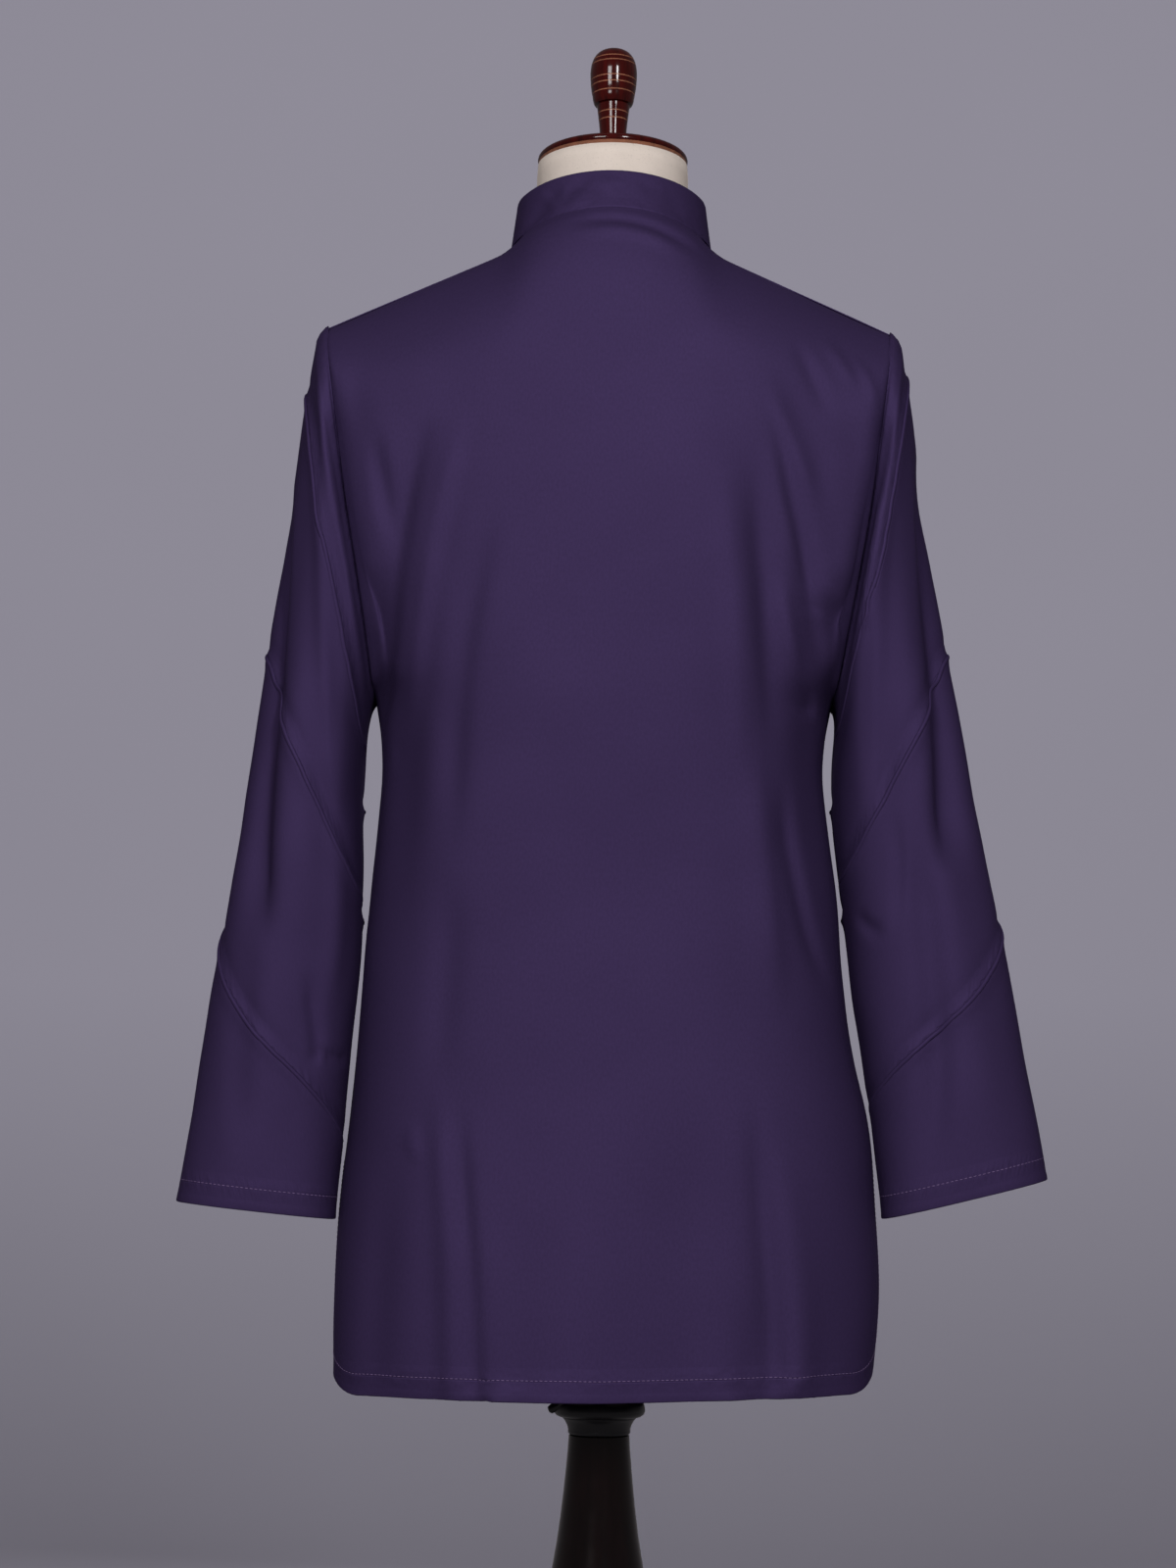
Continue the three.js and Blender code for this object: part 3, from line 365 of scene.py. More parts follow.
def refine(points, count):
    """The same sheet with count even steps along its first axis."""
    at = lengths_along(points)
    return smooth_through(points, at, np.linspace(0, at[-1], count + 1))


def refine_round(points, count):
    """The same for a sheet that is closed along its first axis."""
    n = len(points)
    turned = points[np.arange(-3, n + 4) % n]
    at = lengths_along(turned)
    places = np.linspace(at[3], at[3 + n], count + 1)
    return smooth_through(turned, at, places)[:-1]


def soften(points, rounds, closed=False):
    """Evens out a sheet's rows and columns without moving its borders."""
    points = points.copy()
    for _ in range(rounds):
        if closed:
            around = (np.roll(points, 1, axis=1) + np.roll(points, -1, axis=1)) / 2
            points[1:-1] += 0.5 * (around - points)[1:-1]
        else:
            across = (points[:, :-2] + points[:, 2:]) / 2
            points[1:-1, 1:-1] += 0.5 * (across - points[:, 1:-1])[1:-1]
        along = (points[:-2] + points[2:]) / 2
        inside = slice(None) if closed else slice(1, -1)
        points[1:-1, inside] += 0.5 * (along - points[1:-1])[:, inside]
    return points


def fine_sheet(rows, cell, closed=False, rounds=6, least=4):
    """Rows by columns of points about one cell apart, on the smooth sheet through coarse rows."""
    across = rows.transpose(1, 0, 2)
    around = np.concatenate([across, across[:1]]) if closed else across
    columns = max(least, round(lengths_along(around)[-1] / cell))
    down = max(least, round(lengths_along(rows)[-1] / cell))
    fine = (refine_round if closed else refine)(across, columns).transpose(1, 0, 2)
    return soften(refine(fine, down), rounds, closed)


class Sheet:
    """A piece of cloth as rows and columns of points, before it becomes a mesh."""

    def __init__(self, points, hand=1, closed=False):
        self.points = points
        self.closed = closed
        self.hand = hand  # 1 or -1, for the side that the normals look to
        self.sewn = np.full(points.shape[:2], FAR)  # each point's distance from the nearest sewing
        self.room = np.ones(points.shape[:2])  # the share of a movement that each point takes

    def face(self, outward):
        """Turns the normals to the side that an array of directions shows."""
        if (self.normals() * outward).sum() < 0:
            self.hand = -self.hand
        return self

    def normals(self):
        if self.closed:
            across = np.roll(self.points, -1, axis=1) - np.roll(self.points, 1, axis=1)
        else:
            across = np.gradient(self.points, axis=1)
        normals = np.cross(across, np.gradient(self.points, axis=0)) * self.hand
        return normals / np.maximum(np.linalg.norm(normals, axis=-1, keepdims=True), 1e-12)

    def move(self, heights):
        self.points = self.points + self.normals() * (heights * self.room)[:, :, None]

    def along(self):
        """Each point's distance from the first row, down its own column."""
        steps = np.linalg.norm(np.diff(self.points, axis=0), axis=-1)
        return np.concatenate([np.zeros((1, steps.shape[1])), np.cumsum(steps, axis=0)])

    def across(self):
        """Each point's distance from the first column, along its own row."""
        steps = np.linalg.norm(np.diff(self.points, axis=1), axis=-1)
        return np.concatenate([np.zeros((steps.shape[0], 1)), np.cumsum(steps, axis=1)], axis=1)

    def tree(self):
        rows, columns = self.points.shape[:2]
        index = np.arange(rows * columns).reshape(rows, columns)
        low, high = index[:-1], index[1:]
        if self.closed:
            quads = np.stack([low, np.roll(low, -1, 1), np.roll(high, -1, 1), high], axis=-1)
        else:
            quads = np.stack([low[:, :-1], low[:, 1:], high[:, 1:], high[:, :-1]], axis=-1)
        return BVHTree.FromPolygons(self.points.reshape(-1, 3).tolist(), quads.reshape(-1, 4).tolist())

    def sew(self, distances):
        """Notes a line of sewing, given each point's distance from it."""
        self.sewn = np.minimum(self.sewn, np.abs(distances))

    def fold_under(self, width, thick, at_end=False):
        """Turns the first or last row under: a rounded edge, and behind it a second layer of cloth."""
        order = slice(None, None, -1 if at_end else 1)
        along = self.along()
        along = (along[-1:] - along)[order] if at_end else along
        points, normals, sewn = self.points[order], self.normals()[order], self.sewn[order]
        out = unit(points[0] - points[1])
        inner, inner_sewn = [], []
        for distance in np.linspace(width, thick * 0.6, max(3, round(width / (4 * MM)))):
            inner.append(row_at(along, points, distance) - unit(row_at(along, normals, distance)) * thick)
            inner_sewn.append(row_at(along, sewn[:, :, None], distance)[:, 0])
        for degrees in (180, 140, 100, 60, 30):
            angle = math.radians(degrees)
            reach, depth = math.sin(angle) * thick / 2, (1 - math.cos(angle)) * thick / 2
            inner.append(points[0] + out * reach - normals[0] * depth)
            inner_sewn.append(sewn[0])
        self.points = np.concatenate([inner, points])[order]
        self.sewn = np.concatenate([inner_sewn, sewn])[order]

    def lap_under(self, width, drop, share=1.0, at_end=False):
        """Carries the first or last row on for a little way under the piece that it is sewn to."""
        order = slice(None, None, -1 if at_end else 1)
        points, normals, sewn = self.points[order], self.normals()[order], self.sewn[order]
        share = (np.ones(points.shape[1]) * share)[:, None]
        out = unit(points[0] - points[1]) * share
        down = normals[0] * drop * share
        lap = [points[0] + out * width - down, points[0] + out * width * 0.3 - down]
        self.points = np.concatenate([lap, points])[order]
        self.sewn = np.concatenate([sewn[:1], sewn[:1], sewn])[order]

    def turn_over(self):
        """Swaps rows and columns, so that the sides can be worked like the ends."""
        self.points = self.points.transpose(1, 0, 2)
        self.sewn = self.sewn.T
        self.room = self.room.T
        self.hand = -self.hand

    def mesh(self, name, wall, material, rim=60):
        """The sheet as a closed shell with its weave's coordinates in metres."""
        points, sewn = self.points, self.sewn
        across, along = self.across(), self.along()
        if self.closed:
            points = np.concatenate([points, points[:, :1]], axis=1)
            sewn = np.concatenate([sewn, sewn[:, :1]], axis=1)
            last = np.linalg.norm(points[:, -1] - points[:, -2], axis=-1)
            across = np.concatenate([across, across[:, -1:] + last[:, None]], axis=1)
            along = np.concatenate([along, along[:, :1]], axis=1)
        middle = across[:, -1:] / 2
        rows, columns = points.shape[:2]
        deselect_all()
        bpy.ops.mesh.primitive_grid_add(x_subdivisions=columns - 1, y_subdivisions=rows - 1, size=1)
        obj = bpy.context.object
        obj.name = name
        mesh = obj.data
        mesh.vertices.foreach_set("co", points.ravel())
        attribute = mesh.attributes.new("sewn", "FLOAT", "POINT")
        attribute.data.foreach_set("value", sewn.astype(np.float32).ravel())
        flat = np.stack([across - middle, along], axis=-1).reshape(-1, 2)
        corners = np.zeros(len(mesh.loops), dtype=np.int32)
        mesh.loops.foreach_get("vertex_index", corners)
        mesh.uv_layers[0].name = "weave"
        mesh.uv_layers[0].uv.foreach_set("vector", flat[corners].astype(np.float32).ravel())
        mesh.update()
        with editing(obj):
            bpy.ops.mesh.remove_doubles(threshold=0.001 * MM)
        self.face_outward(obj)
        finish_modifier(obj, "SOLIDIFY", thickness=wall, offset=-1, use_even_offset=False)
        mesh.materials.clear()
        mesh.materials.append(material)
        smooth_faces(obj, rim)
        return obj

    def face_outward(self, obj):
        """Turns a flat mesh of the sheet over if its faces look inward."""
        normals = self.normals()
        middle = tuple(n // 2 for n in normals.shape[:2])
        place = Vector(self.points[middle])
        face = min(obj.data.polygons, key=lambda p: (p.center - place).length)
        if face.normal.dot(Vector(normals[middle])) < 0:
            with editing(obj):
                bpy.ops.mesh.flip_normals()


def unit(vectors):
    return vectors / np.maximum(np.linalg.norm(vectors, axis=-1, keepdims=True), 1e-12)


def row_at(distances, values, wanted):
    """One value for each column, where that column's distances reach the wanted one."""
    found = np.empty(values.shape[1:])
    for i in range(values.shape[1]):
        order = np.argsort(distances[:, i])
        for k in range(values.shape[2]):
            found[i, k] = np.interp(wanted, distances[order, i], values[order, i, k])
    return found


def column_at(distances, values, wanted):
    """One value for each row, where that row's distances reach the wanted one."""
    return row_at(distances.T, values.transpose(1, 0, 2), wanted)


def woven(rows, cell, outward, closed=False, rounds=6, least=4):
    """The fine sheet through a node's coarse rows, with its normals outward."""
    sheet = Sheet(fine_sheet(rows, cell, closed, rounds, least), closed=closed)
    return sheet.face(outward(sheet.points))


def from_body(points):
    """Outward for a panel: away from the body's axis, and up above the armpits."""
    lift = np.clip(points[:, :, 2] - 1.1, 0, None)
    return np.stack([points[:, :, 0], points[:, :, 1], lift], axis=-1)


def from_arm(points):
    """Outward for a tube: away from its own middle line."""
    return points - points.mean(axis=1, keepdims=True)


def from_neck(points):
    """Outward for the collar: away from the neck's axis."""
    return np.stack([points[:, :, 0], points[:, :, 1] - AXIS_Y, 0 * points[:, :, 2]], axis=-1)


# ------------------------------------------------------------------ creases

# A crease is a line of places as seen from one side, in millimetres: across and up. It has a half width and
# a depth, inward where negative. lean makes it steeper on one side, and ends is the share of its length
# over which it rises and fades.
Crease = namedtuple("Crease", "seen places width depth lean ends", defaults=(0.0, 0.35))

CREASES = {
    "panel_back": [
        Crease(BACK, [(204, 1404), (203, 1361), (200, 1321), (195, 1275), (189, 1220), (184, 1150)],
               15, -4.0, 0.0, 0.2),
        Crease(BACK, [(112, 1372), (126, 1296), (136, 1246), (142, 1200), (148, 1147), (156, 1084)],
               13, 4.5, 0.4),
        Crease(BACK, [(138, 1366), (152, 1310), (160, 1263), (166, 1217), (171, 1164), (178, 1096)],
               15, -6.5, 0.5),
        Crease(BACK, [(186, 1240), (180, 1180), (177, 1110)], 14, -6.0),
        Crease(BACK, [(-184, 1240), (-178, 1180), (-175, 1110)], 14, -6.0),
        Crease(BACK, [(185, 1350), (178, 1304), (167, 1244)], 7, -3.6, 0.0, 0.45),
        Crease(BACK, [(88, 1300), (97, 1246), (107, 1193), (114, 1132), (117, 1064), (119, 996)],
               13, -3.4, 0.2),
        Crease(BACK, [(117, 1005), (119, 930), (124, 864), (126, 825)], 13, -2.2),
        Crease(BACK, [(124, 845), (120, 784), (117, 741), (114, 691), (110, 600)], 11, 2.6, -0.3, 0.3),
        Crease(BACK, [(109, 835), (104, 770), (98, 713), (91, 600)], 8, -3.2, 0.3, 0.3),
        Crease(BACK, [(156, 800), (166, 712), (169, 600)], 16, -2.6, 0.0, 0.5),
        Crease(BACK, [(141, 812), (143, 794), (136, 776)], 5, 1.4, 0.0, 0.45),
        Crease(BACK, [(-110, 850), (-116, 787), (-121, 729), (-126, 679), (-129, 600)],
               9, -3.2, 0.0, 0.4),
        Crease(BACK, [(-131, 815), (-138, 744), (-145, 680), (-149, 600)], 13, 2.0, 0.0, 0.4),
        Crease(BACK, [(-112, 1110), (-118, 1029), (-126, 955), (-131, 880)], 13, 3.0, 0.3),
        Crease(BACK, [(-134, 1086), (-140, 1024), (-147, 990), (-156, 955), (-167, 926), (-179, 900)],
               8, -4.0, 0.2),
        Crease(BACK, [(-84, 1340), (-95, 1218), (-100, 1142), (-106, 1057)], 14, 3.0, -0.3),
        Crease(BACK, [(-111, 1325), (-118, 1219), (-123, 1151), (-129, 1081)], 12, -4.2, -0.2),
        Crease(BACK, [(-142, 1422), (-156, 1390), (-174, 1352)], 6, -2.4, 0.2, 0.4),
        Crease(BACK, [(-164, 1424), (-178, 1403), (-192, 1376)], 5, 1.8, 0.0, 0.4),
        Crease(BACK, [(-190, 1410), (-200, 1389), (-207, 1365)], 4, 1.6, 0.0, 0.4),
        Crease(BACK, [(-119, 1387), (-139, 1332), (-163, 1272)], 7, 2.6, -0.3, 0.4),
        Crease(BACK, [(-127, 1366), (-141, 1286), (-153, 1240), (-168, 1184)], 8, -4.6, -0.3, 0.4),
        Crease(BACK, [(-144, 1276), (-156, 1206), (-171, 1140)], 9, -4.4, 0.2, 0.4),
        Crease(BACK, [(-128, 1236), (-137, 1189), (-149, 1140)], 7, 3.0, 0.0, 0.4),
        Crease(BACK, [(-190, 1372), (-196, 1326), (-197, 1279), (-189, 1210), (-183, 1150)],
               15, -4.0, 0.0, 0.2),
        Crease(BACK, [(44, 1508), (12, 1514), (-19, 1512), (-44, 1504), (-78, 1482)], 5, -2.8, 0.3, 0.3),
        Crease(BACK, [(34, 1500), (0, 1504), (-30, 1498), (-64, 1480)], 6, 2.4, 0.0, 0.4),
        Crease(BACK, [(20, 860), (14, 720), (16, 600)], 40, 2.4, 0.0, 0.5),
    ],
    "panel_front": [
        Crease(FRONT, [(203, 1400), (202, 1350), (198, 1290), (190, 1220), (184, 1150)],
               15, -4.0, 0.0, 0.2),
        Crease(FRONT, [(-200, 1400), (-199, 1350), (-196, 1290), (-189, 1220), (-183, 1150)],
               15, -4.0, 0.0, 0.2),
        Crease(FRONT, [(122, 1380), (140, 1290), (149, 1190), (158, 1080), (164, 960)], 13, -5.6, 0.3),
        Crease(FRONT, [(100, 1372), (118, 1290), (128, 1200), (134, 1110)], 13, 3.6, 0.2),
        Crease(FRONT, [(-116, 1384), (-138, 1296), (-150, 1190), (-160, 1060), (-166, 950)],
               14, -5.4, -0.3),
        Crease(FRONT, [(-92, 1376), (-112, 1290), (-124, 1190), (-132, 1090)], 13, 3.4, -0.2),
        Crease(FRONT, [(-152, 1412), (-170, 1370), (-184, 1316)], 7, -3.0, 0.0, 0.4),
        Crease(FRONT, [(150, 1414), (170, 1372), (186, 1320)], 7, -3.2, 0.0, 0.4),
        Crease(FRONT, [(98, 830), (103, 700), (108, 600)], 9, -4.6, 0.3, 0.4),
        Crease(FRONT, [(116, 820), (122, 700), (128, 600)], 12, 2.8, 0.0, 0.4),
        Crease(FRONT, [(-104, 850), (-110, 730), (-112, 600)], 9, -4.8, -0.3, 0.4),
        Crease(FRONT, [(-124, 830), (-132, 720), (-136, 600)], 13, 2.8, 0.0, 0.4),
        Crease(FRONT, [(-8, 860), (-4, 720), (-8, 600)], 38, 2.4, 0.0, 0.5),
    ],
    "collar": [
        Crease(BACK, [(4, 1566), (14, 1548), (28, 1532), (46, 1512)], 8, 1.5, -0.3, 0.1),
        Crease(BACK, [(36, 1566), (46, 1546), (58, 1526), (66, 1512)], 10, -2.2, 0.0, 0.1),
        Crease(BACK, [(-40, 1562), (-46, 1540), (-52, 1516)], 10, -0.9, 0.0, 0.1),
    ],
    "sleeve_left": [
        Crease(BACK, [(223, 1345), (222, 1254), (219, 1184), (215, 1115), (210, 1030)],
               10, 3.6, -0.3, 0.2),
        Crease(BACK, [(250, 1315), (256, 1256), (260, 1194), (263, 1131), (267, 1070),
                      (267, 1000), (260, 930)],
               15, -11, 0.2, 0.2),
        Crease(BACK, [(268, 960), (275, 887), (277, 834), (276, 770)], 13, -3.2, 0.0, 0.4),
        Crease(BACK, [(205, 1030), (206, 947), (211, 880)], 9, 2.4, 0.0, 0.4),
        Crease(BACK, [(224, 866), (214, 860), (198, 857), (186, 856)], 4, -2.2, 0.0, 0.4),
        Crease(BACK, [(224, 842), (219, 865), (222, 896), (226, 930)], 6, -2.6, 0.0, 0.4),
        Crease(FRONT, [(222, 1340), (220, 1250), (216, 1170), (212, 1080)], 10, 3.4, -0.3, 0.2),
        Crease(FRONT, [(243, 1310), (248, 1220), (251, 1130), (252, 1040), (244, 950)],
               12, -6.0, 0.3, 0.2),
        Crease(FRONT, [(262, 960), (270, 880), (272, 780)], 13, -3.4, 0.0, 0.4),
        Crease(FRONT, [(206, 1110), (216, 1090), (236, 1084)], 6, -2.4, 0.3),
    ],
    "sleeve_right": [
        Crease(BACK, [(-208, 1345), (-208, 1259), (-206, 1182), (-205, 1104), (-208, 1010)],
               11, 3.4, 0.3, 0.2),
        Crease(BACK, [(-242, 1345), (-250, 1262), (-256, 1192), (-261, 1137), (-263, 1060), (-262, 990)],
               15, -11, -0.2, 0.2),
        Crease(BACK, [(-234, 1060), (-243, 984), (-249, 923), (-254, 863), (-252, 811), (-248, 760)],
               12, -4.6, 0.0, 0.3),
        Crease(BACK, [(-221, 1056), (-224, 1005), (-222, 950)], 5, -2.0, 0.0, 0.4),
        Crease(BACK, [(-192, 975), (-201, 963), (-216, 955)], 5, -2.6, 0.0, 0.4),
        Crease(FRONT, [(-208, 1340), (-207, 1250), (-206, 1160), (-208, 1060)], 11, 3.2, 0.3, 0.2),
        Crease(FRONT, [(-234, 1330), (-242, 1240), (-248, 1150), (-249, 1050), (-246, 960)],
               12, -6.0, -0.3, 0.2),
        Crease(FRONT, [(-244, 980), (-254, 880), (-258, 780)], 13, -4.0, 0.0, 0.4),
    ],
}


def even_line(points, step):
    """A line of points one step apart, on a smooth curve through the given ones."""
    points = np.array(points, float)[:, None, :]
    count = max(2, round(lengths_along(points)[-1] / step))
    return refine(points, count)[:, 0]


def line_on(tree, crease):
    """The crease's line on a sheet's surface, in metres."""
    flat = even_line([(a * MM, b * MM, 0) for a, b in crease.places], 5 * MM)
    line = []
    for across, up, _ in flat:
        place = Vector((across, 0, up)) if abs(crease.seen.y) else Vector((0, across, up))
        hit = tree.ray_cast(place + crease.seen, -crease.seen)[0]
        line.append(hit if hit else tree.find_nearest(place + crease.seen * 0.1)[0])
    return np.array(line)


def crease_heights(sheet, tree, crease):
    """How far a crease lifts each point of a sheet."""
    line = line_on(tree, crease)
    points = sheet.points.reshape(-1, 3)
    normals = sheet.normals().reshape(-1, 3)
    tangents = np.gradient(line, axis=0)
    tangents /= np.linalg.norm(tangents, axis=1, keepdims=True)
    nearest = np.linalg.norm(points[:, None] - line[None], axis=-1).argmin(axis=1)
    away = points - line[nearest]
    run = (away * tangents[nearest]).sum(axis=1)
    aside = away - run[:, None] * tangents[nearest]
    distance = np.linalg.norm(aside, axis=1)
    hand = np.sign((np.cross(tangents[nearest], normals) * aside).sum(axis=1))
    spread = crease.width * MM * (1 + crease.lean * hand)
    total = np.linalg.norm(np.diff(line, axis=0), axis=1).sum()
    place = (nearest / (len(line) - 1) + run / total).clip(0, 1)
    fade = ease(place / crease.ends)
    if crease.places[-1][1] * MM >= HEM_HEIGHT:  # a lower end runs out through the hem
        fade = fade * ease((1 - place) / crease.ends)
    heights = crease.depth * MM * np.exp(-((distance / spread) ** 2)) * fade
    return heights.reshape(sheet.points.shape[:2])


def crease_sheet(sheet, name, share):
    """Moves a sheet by all its creases at a share of their depth."""
    tree = sheet.tree()
    heights = sum(crease_heights(sheet, tree, crease) for crease in CREASES[name])
    sheet.move(heights * share)


def ripple(sheet, size, height, seed):
    """A faint unevenness, as in any cloth that was ironed and hung."""
    heights = [
        noise.noise(Vector(point) / size + Vector((seed, 0, 0))) for point in sheet.points.reshape(-1, 3)
    ]
    sheet.move(np.array(heights).reshape(sheet.points.shape[:2]) * height)


# ------------------------------------------------------------------ finishes


class Finish:
    """A procedural material, put together from a few kinds of nodes."""

    def __init__(self, name):
        self.material = bpy.data.materials.new(name)
        self.material.use_nodes = True
        self.shader = self.material.node_tree.nodes["Principled BSDF"]

    def feed(self, socket, given):
        """Links an output to a socket, or sets the socket's value."""
        if isinstance(given, bpy.types.NodeSocket):
            self.material.node_tree.links.new(given, socket)
        else:
            socket.default_value = given

    def set(self, name, given):
        self.feed(self.shader.inputs[name], given)

    def node(self, kind, inputs=None, **values):
        """A new node with its values, and with its inputs fed."""
        node = self.material.node_tree.nodes.new(kind)
        for name, value in values.items():
            setattr(node, name, value)
        for name, given in (inputs or {}).items():
            self.feed(node.inputs[name], given)
        return node

    def place(self):
        """The piece's own coordinates in metres."""
        return self.node("ShaderNodeTexCoord").outputs["Object"]

    def combine(self, operation, first, second):
        return self.node("ShaderNodeMath", {0: first, 1: second}, operation=operation).outputs[0]

    def scaled(self, source, scale):
        return self.node("ShaderNodeMapping", {"Vector": source, "Scale": scale}).outputs["Vector"]

    def noise(self, vector, scale, detail=2.0, roughness=0.5):
        inputs = {"Vector": vector, "Scale": scale, "Detail": detail, "Roughness": roughness}
        return self.node("ShaderNodeTexNoise", inputs).outputs["Fac"]

    def waves(self, vector, period, direction, distortion=0.0):
        """Bands with one crest per period, from 0 to 1."""
        inputs = {"Vector": vector, "Scale": math.pi / 10 / period, "Distortion": distortion}
        return self.node("ShaderNodeTexWave", inputs, bands_direction=direction).outputs["Fac"]

    def mix(self, factor, first, second):
        return self.node("ShaderNodeMix", {0: factor, 6: first, 7: second}, data_type="RGBA").outputs[2]

    def shades(self, factor, rgb, first, second):
        """A colour that goes between two shades of the given one."""
        return self.mix(factor, shade(rgb, first), shade(rgb, second))

    def uneven_roughness(self, source, smooth, rough):
        self.set("Roughness", self.ramp(source, 0.3, 0.7, smooth, rough))

    def ramp(self, value, low, high, at_low=0.0, at_high=1.0):
        inputs = {"Value": value, "From Min": low, "From Max": high, "To Min": at_low, "To Max": at_high}
        return self.node("ShaderNodeMapRange", inputs).outputs["Result"]

    def relief(self, height, distance, strength=1.0, under=None):
        """The normal of a bumpy surface, over another bumpy surface if one is given."""
        inputs = {"Height": height, "Distance": distance, "Strength": strength}
        if under:
            inputs["Normal"] = under
        return self.node("ShaderNodeBump", inputs).outputs["Normal"]


def shade(rgb, factor):
    """A lighter or darker shade of a colour, as a node takes it."""
    return tuple(min(1, channel * factor) for channel in rgb) + (1,)


def cloth_finish(settings):
    """Fine plain suiting: a close weave, a dull lustre, and a pressed groove along each line of sewing."""
    finish = Finish("kurta_cloth")
    weave = finish.node("ShaderNodeUVMap", uv_map="weave").outputs["UV"]
    place = finish.place()
    sewn = finish.node("ShaderNodeAttribute", attribute_name="sewn").outputs["Fac"]
    warp = finish.waves(weave, settings.yarn, "X", 0.6)
    weft = finish.waves(weave, settings.yarn * 1.15, "Y", 0.6)
    yarns = finish.combine("MULTIPLY", warp, weft)
    slub = finish.noise(finish.scaled(weave, (520, 300, 1)), 1.0, 4.0, 0.6)
    cloud = finish.noise(place, 9.0, 3.0)
    tone = finish.shades(cloud, settings.colour, 0.90, 1.10)
    thready = finish.mix(yarns, shade(settings.colour, 0.88), tone)
    fleck = finish.ramp(slub, 0.35, 0.75)
    flecked = finish.mix(fleck, thready, shade(settings.colour, 1.05))
    finish.set("Base Color", flecked)
    finish.uneven_roughness(cloud, 0.63, 0.69)
    finish.set("Metallic", settings.lustre)
    finish.set("Specular IOR Level", 0.05)
    finish.set("Specular Tint", (0.10, 0.07, 0.14, 1))
    groove = finish.ramp(sewn, 0.0, 1.6 * MM)
    pucker = finish.noise(finish.scaled(weave, (110, 110, 1)), 1.0, 1.0)
    near = finish.ramp(sewn, 9 * MM, 0.5 * MM)
    puckered = finish.combine("MULTIPLY", pucker, near)
    low = finish.relief(puckered, 0.9 * MM)
    pressed = finish.relief(groove, 0.5 * MM, under=low)
    finish.set("Normal", finish.relief(yarns, 0.06 * MM, 0.5, under=pressed))
    return finish.material


def thread_finish(settings):
    finish = Finish("sewing_thread")
    place = finish.place()
    ply = finish.noise(place, 2600.0, 1.0)
    finish.set("Base Color", finish.shades(ply, settings.thread_colour, 0.75, 1.2))
    finish.set("Roughness", 0.55)
    finish.set("Normal", finish.relief(ply, 0.1 * MM, 0.5))
    return finish.material


def button_finish(settings):
    finish = Finish("button_resin")
    place = finish.place()
    swirl = finish.noise(place, 320.0, 4.0, 0.6)
    finish.set("Base Color", finish.shades(swirl, settings.button_colour, 0.6, 2.2))
    finish.uneven_roughness(swirl, 0.22, 0.36)
    finish.set("Normal", finish.relief(swirl, 0.03 * MM, 0.4))
    return finish.material


def canvas_finish(settings):
    """Unbleached canvas stretched over the form, with a visible weave and faint marks."""
    finish = Finish("form_canvas")
    place = finish.place()
    warp = finish.waves(place, 0.9 * MM, "X", 1.2)
    weft = finish.waves(place, 0.9 * MM, "Z", 1.2)
    yarns = finish.combine("MAXIMUM", warp, weft)
    marks = finish.noise(place, 34.0, 6.0, 0.65)
    specks = finish.noise(place, 900.0, 2.0, 0.6)
    base = finish.shades(marks, settings.canvas, 0.86, 1.08)
    dark = finish.ramp(specks, 0.62, 0.74)
    finish.set("Base Color", finish.mix(dark, base, shade(settings.canvas, 0.72)))
    finish.uneven_roughness(marks, 0.82, 0.94)
    finish.set("Specular IOR Level", 0.25)
    grain = finish.relief(yarns, 0.16 * MM, 0.6)
    finish.set("Normal", finish.relief(specks, 0.25 * MM, 0.5, under=grain))
    return finish.material


def wood_finish(name, base, dark_share, roughness, stretch=14.0):
    """Turned wood under gloss: dark streaks along the grain and a clear coat over them."""
    finish = Finish(name)
    place = finish.place()
    across = stretch * 14
    grain = finish.noise(finish.scaled(place, (across, across, stretch)), 1.0, 5.0, 0.6)
    cloud = finish.noise(place, 26.0, 2.0)
    streaks = finish.ramp(grain, 0.36, 0.66)
    tone = finish.shades(cloud, base, 0.8, 1.25)
    finish.set("Base Color", finish.mix(streaks, tone, shade(base, dark_share)))
    wear = finish.noise(place, 55.0, 3.0)
    finish.uneven_roughness(wear, roughness, roughness * 1.6)
    finish.set("Specular IOR Level", 0.1)
    finish.set("Coat Weight", 0.4)
    finish.set("Coat Roughness", 0.07)
    finish.set("Normal", finish.relief(grain, 0.05 * MM, 0.25))
    return finish.material


def painted_finish(settings):
    finish = Finish("black_paint")
    place = finish.place()
    peel = finish.noise(place, 420.0, 2.0)
    dust = finish.noise(place, 40.0, 4.0)
    finish.set("Base Color", finish.shades(dust, settings.black, 0.7, 2.0))
    finish.uneven_roughness(dust, 0.3, 0.42)
    finish.set("Normal", finish.relief(peel, 0.05 * MM, 0.4))
    return finish.material


def steel_finish(settings):
    finish = Finish("mast_steel")
    place = finish.place()
    drawn = finish.noise(finish.scaled(place, (900, 900, 12)), 1.0, 3.0)
    finish.set("Base Color", finish.shades(drawn, settings.steel, 0.85, 1.05))
    finish.uneven_roughness(drawn, 0.22, 0.34)
    finish.set("Metallic", 1.0)
    finish.set("Normal", finish.relief(drawn, 0.02 * MM, 0.3))
    return finish.material


def floor_finish(settings):
    finish = Finish("plain_floor")
    place = finish.place()
    cloud = finish.noise(place, 0.7, 2.0)
    tone = finish.shades(cloud, settings.floor, 0.97, 1.03)
    # Painted shade: the floor is coloured darker toward its bottom, down to three quarters of its colour at z
    # 0 and full at 1.2 m up, to offset the extra light that the lamps throw on the flat floor.
    height = finish.node("ShaderNodeSeparateXYZ", {"Vector": place}).outputs["Z"]
    rise = finish.ramp(height, 0.0, 1.2)
    finish.set("Base Color", finish.mix(rise, shade(settings.floor, 0.75), tone))
    finish.set("Roughness", 0.95)
    finish.set("Specular IOR Level", 0.1)
    return finish.material


FINISHES = {}


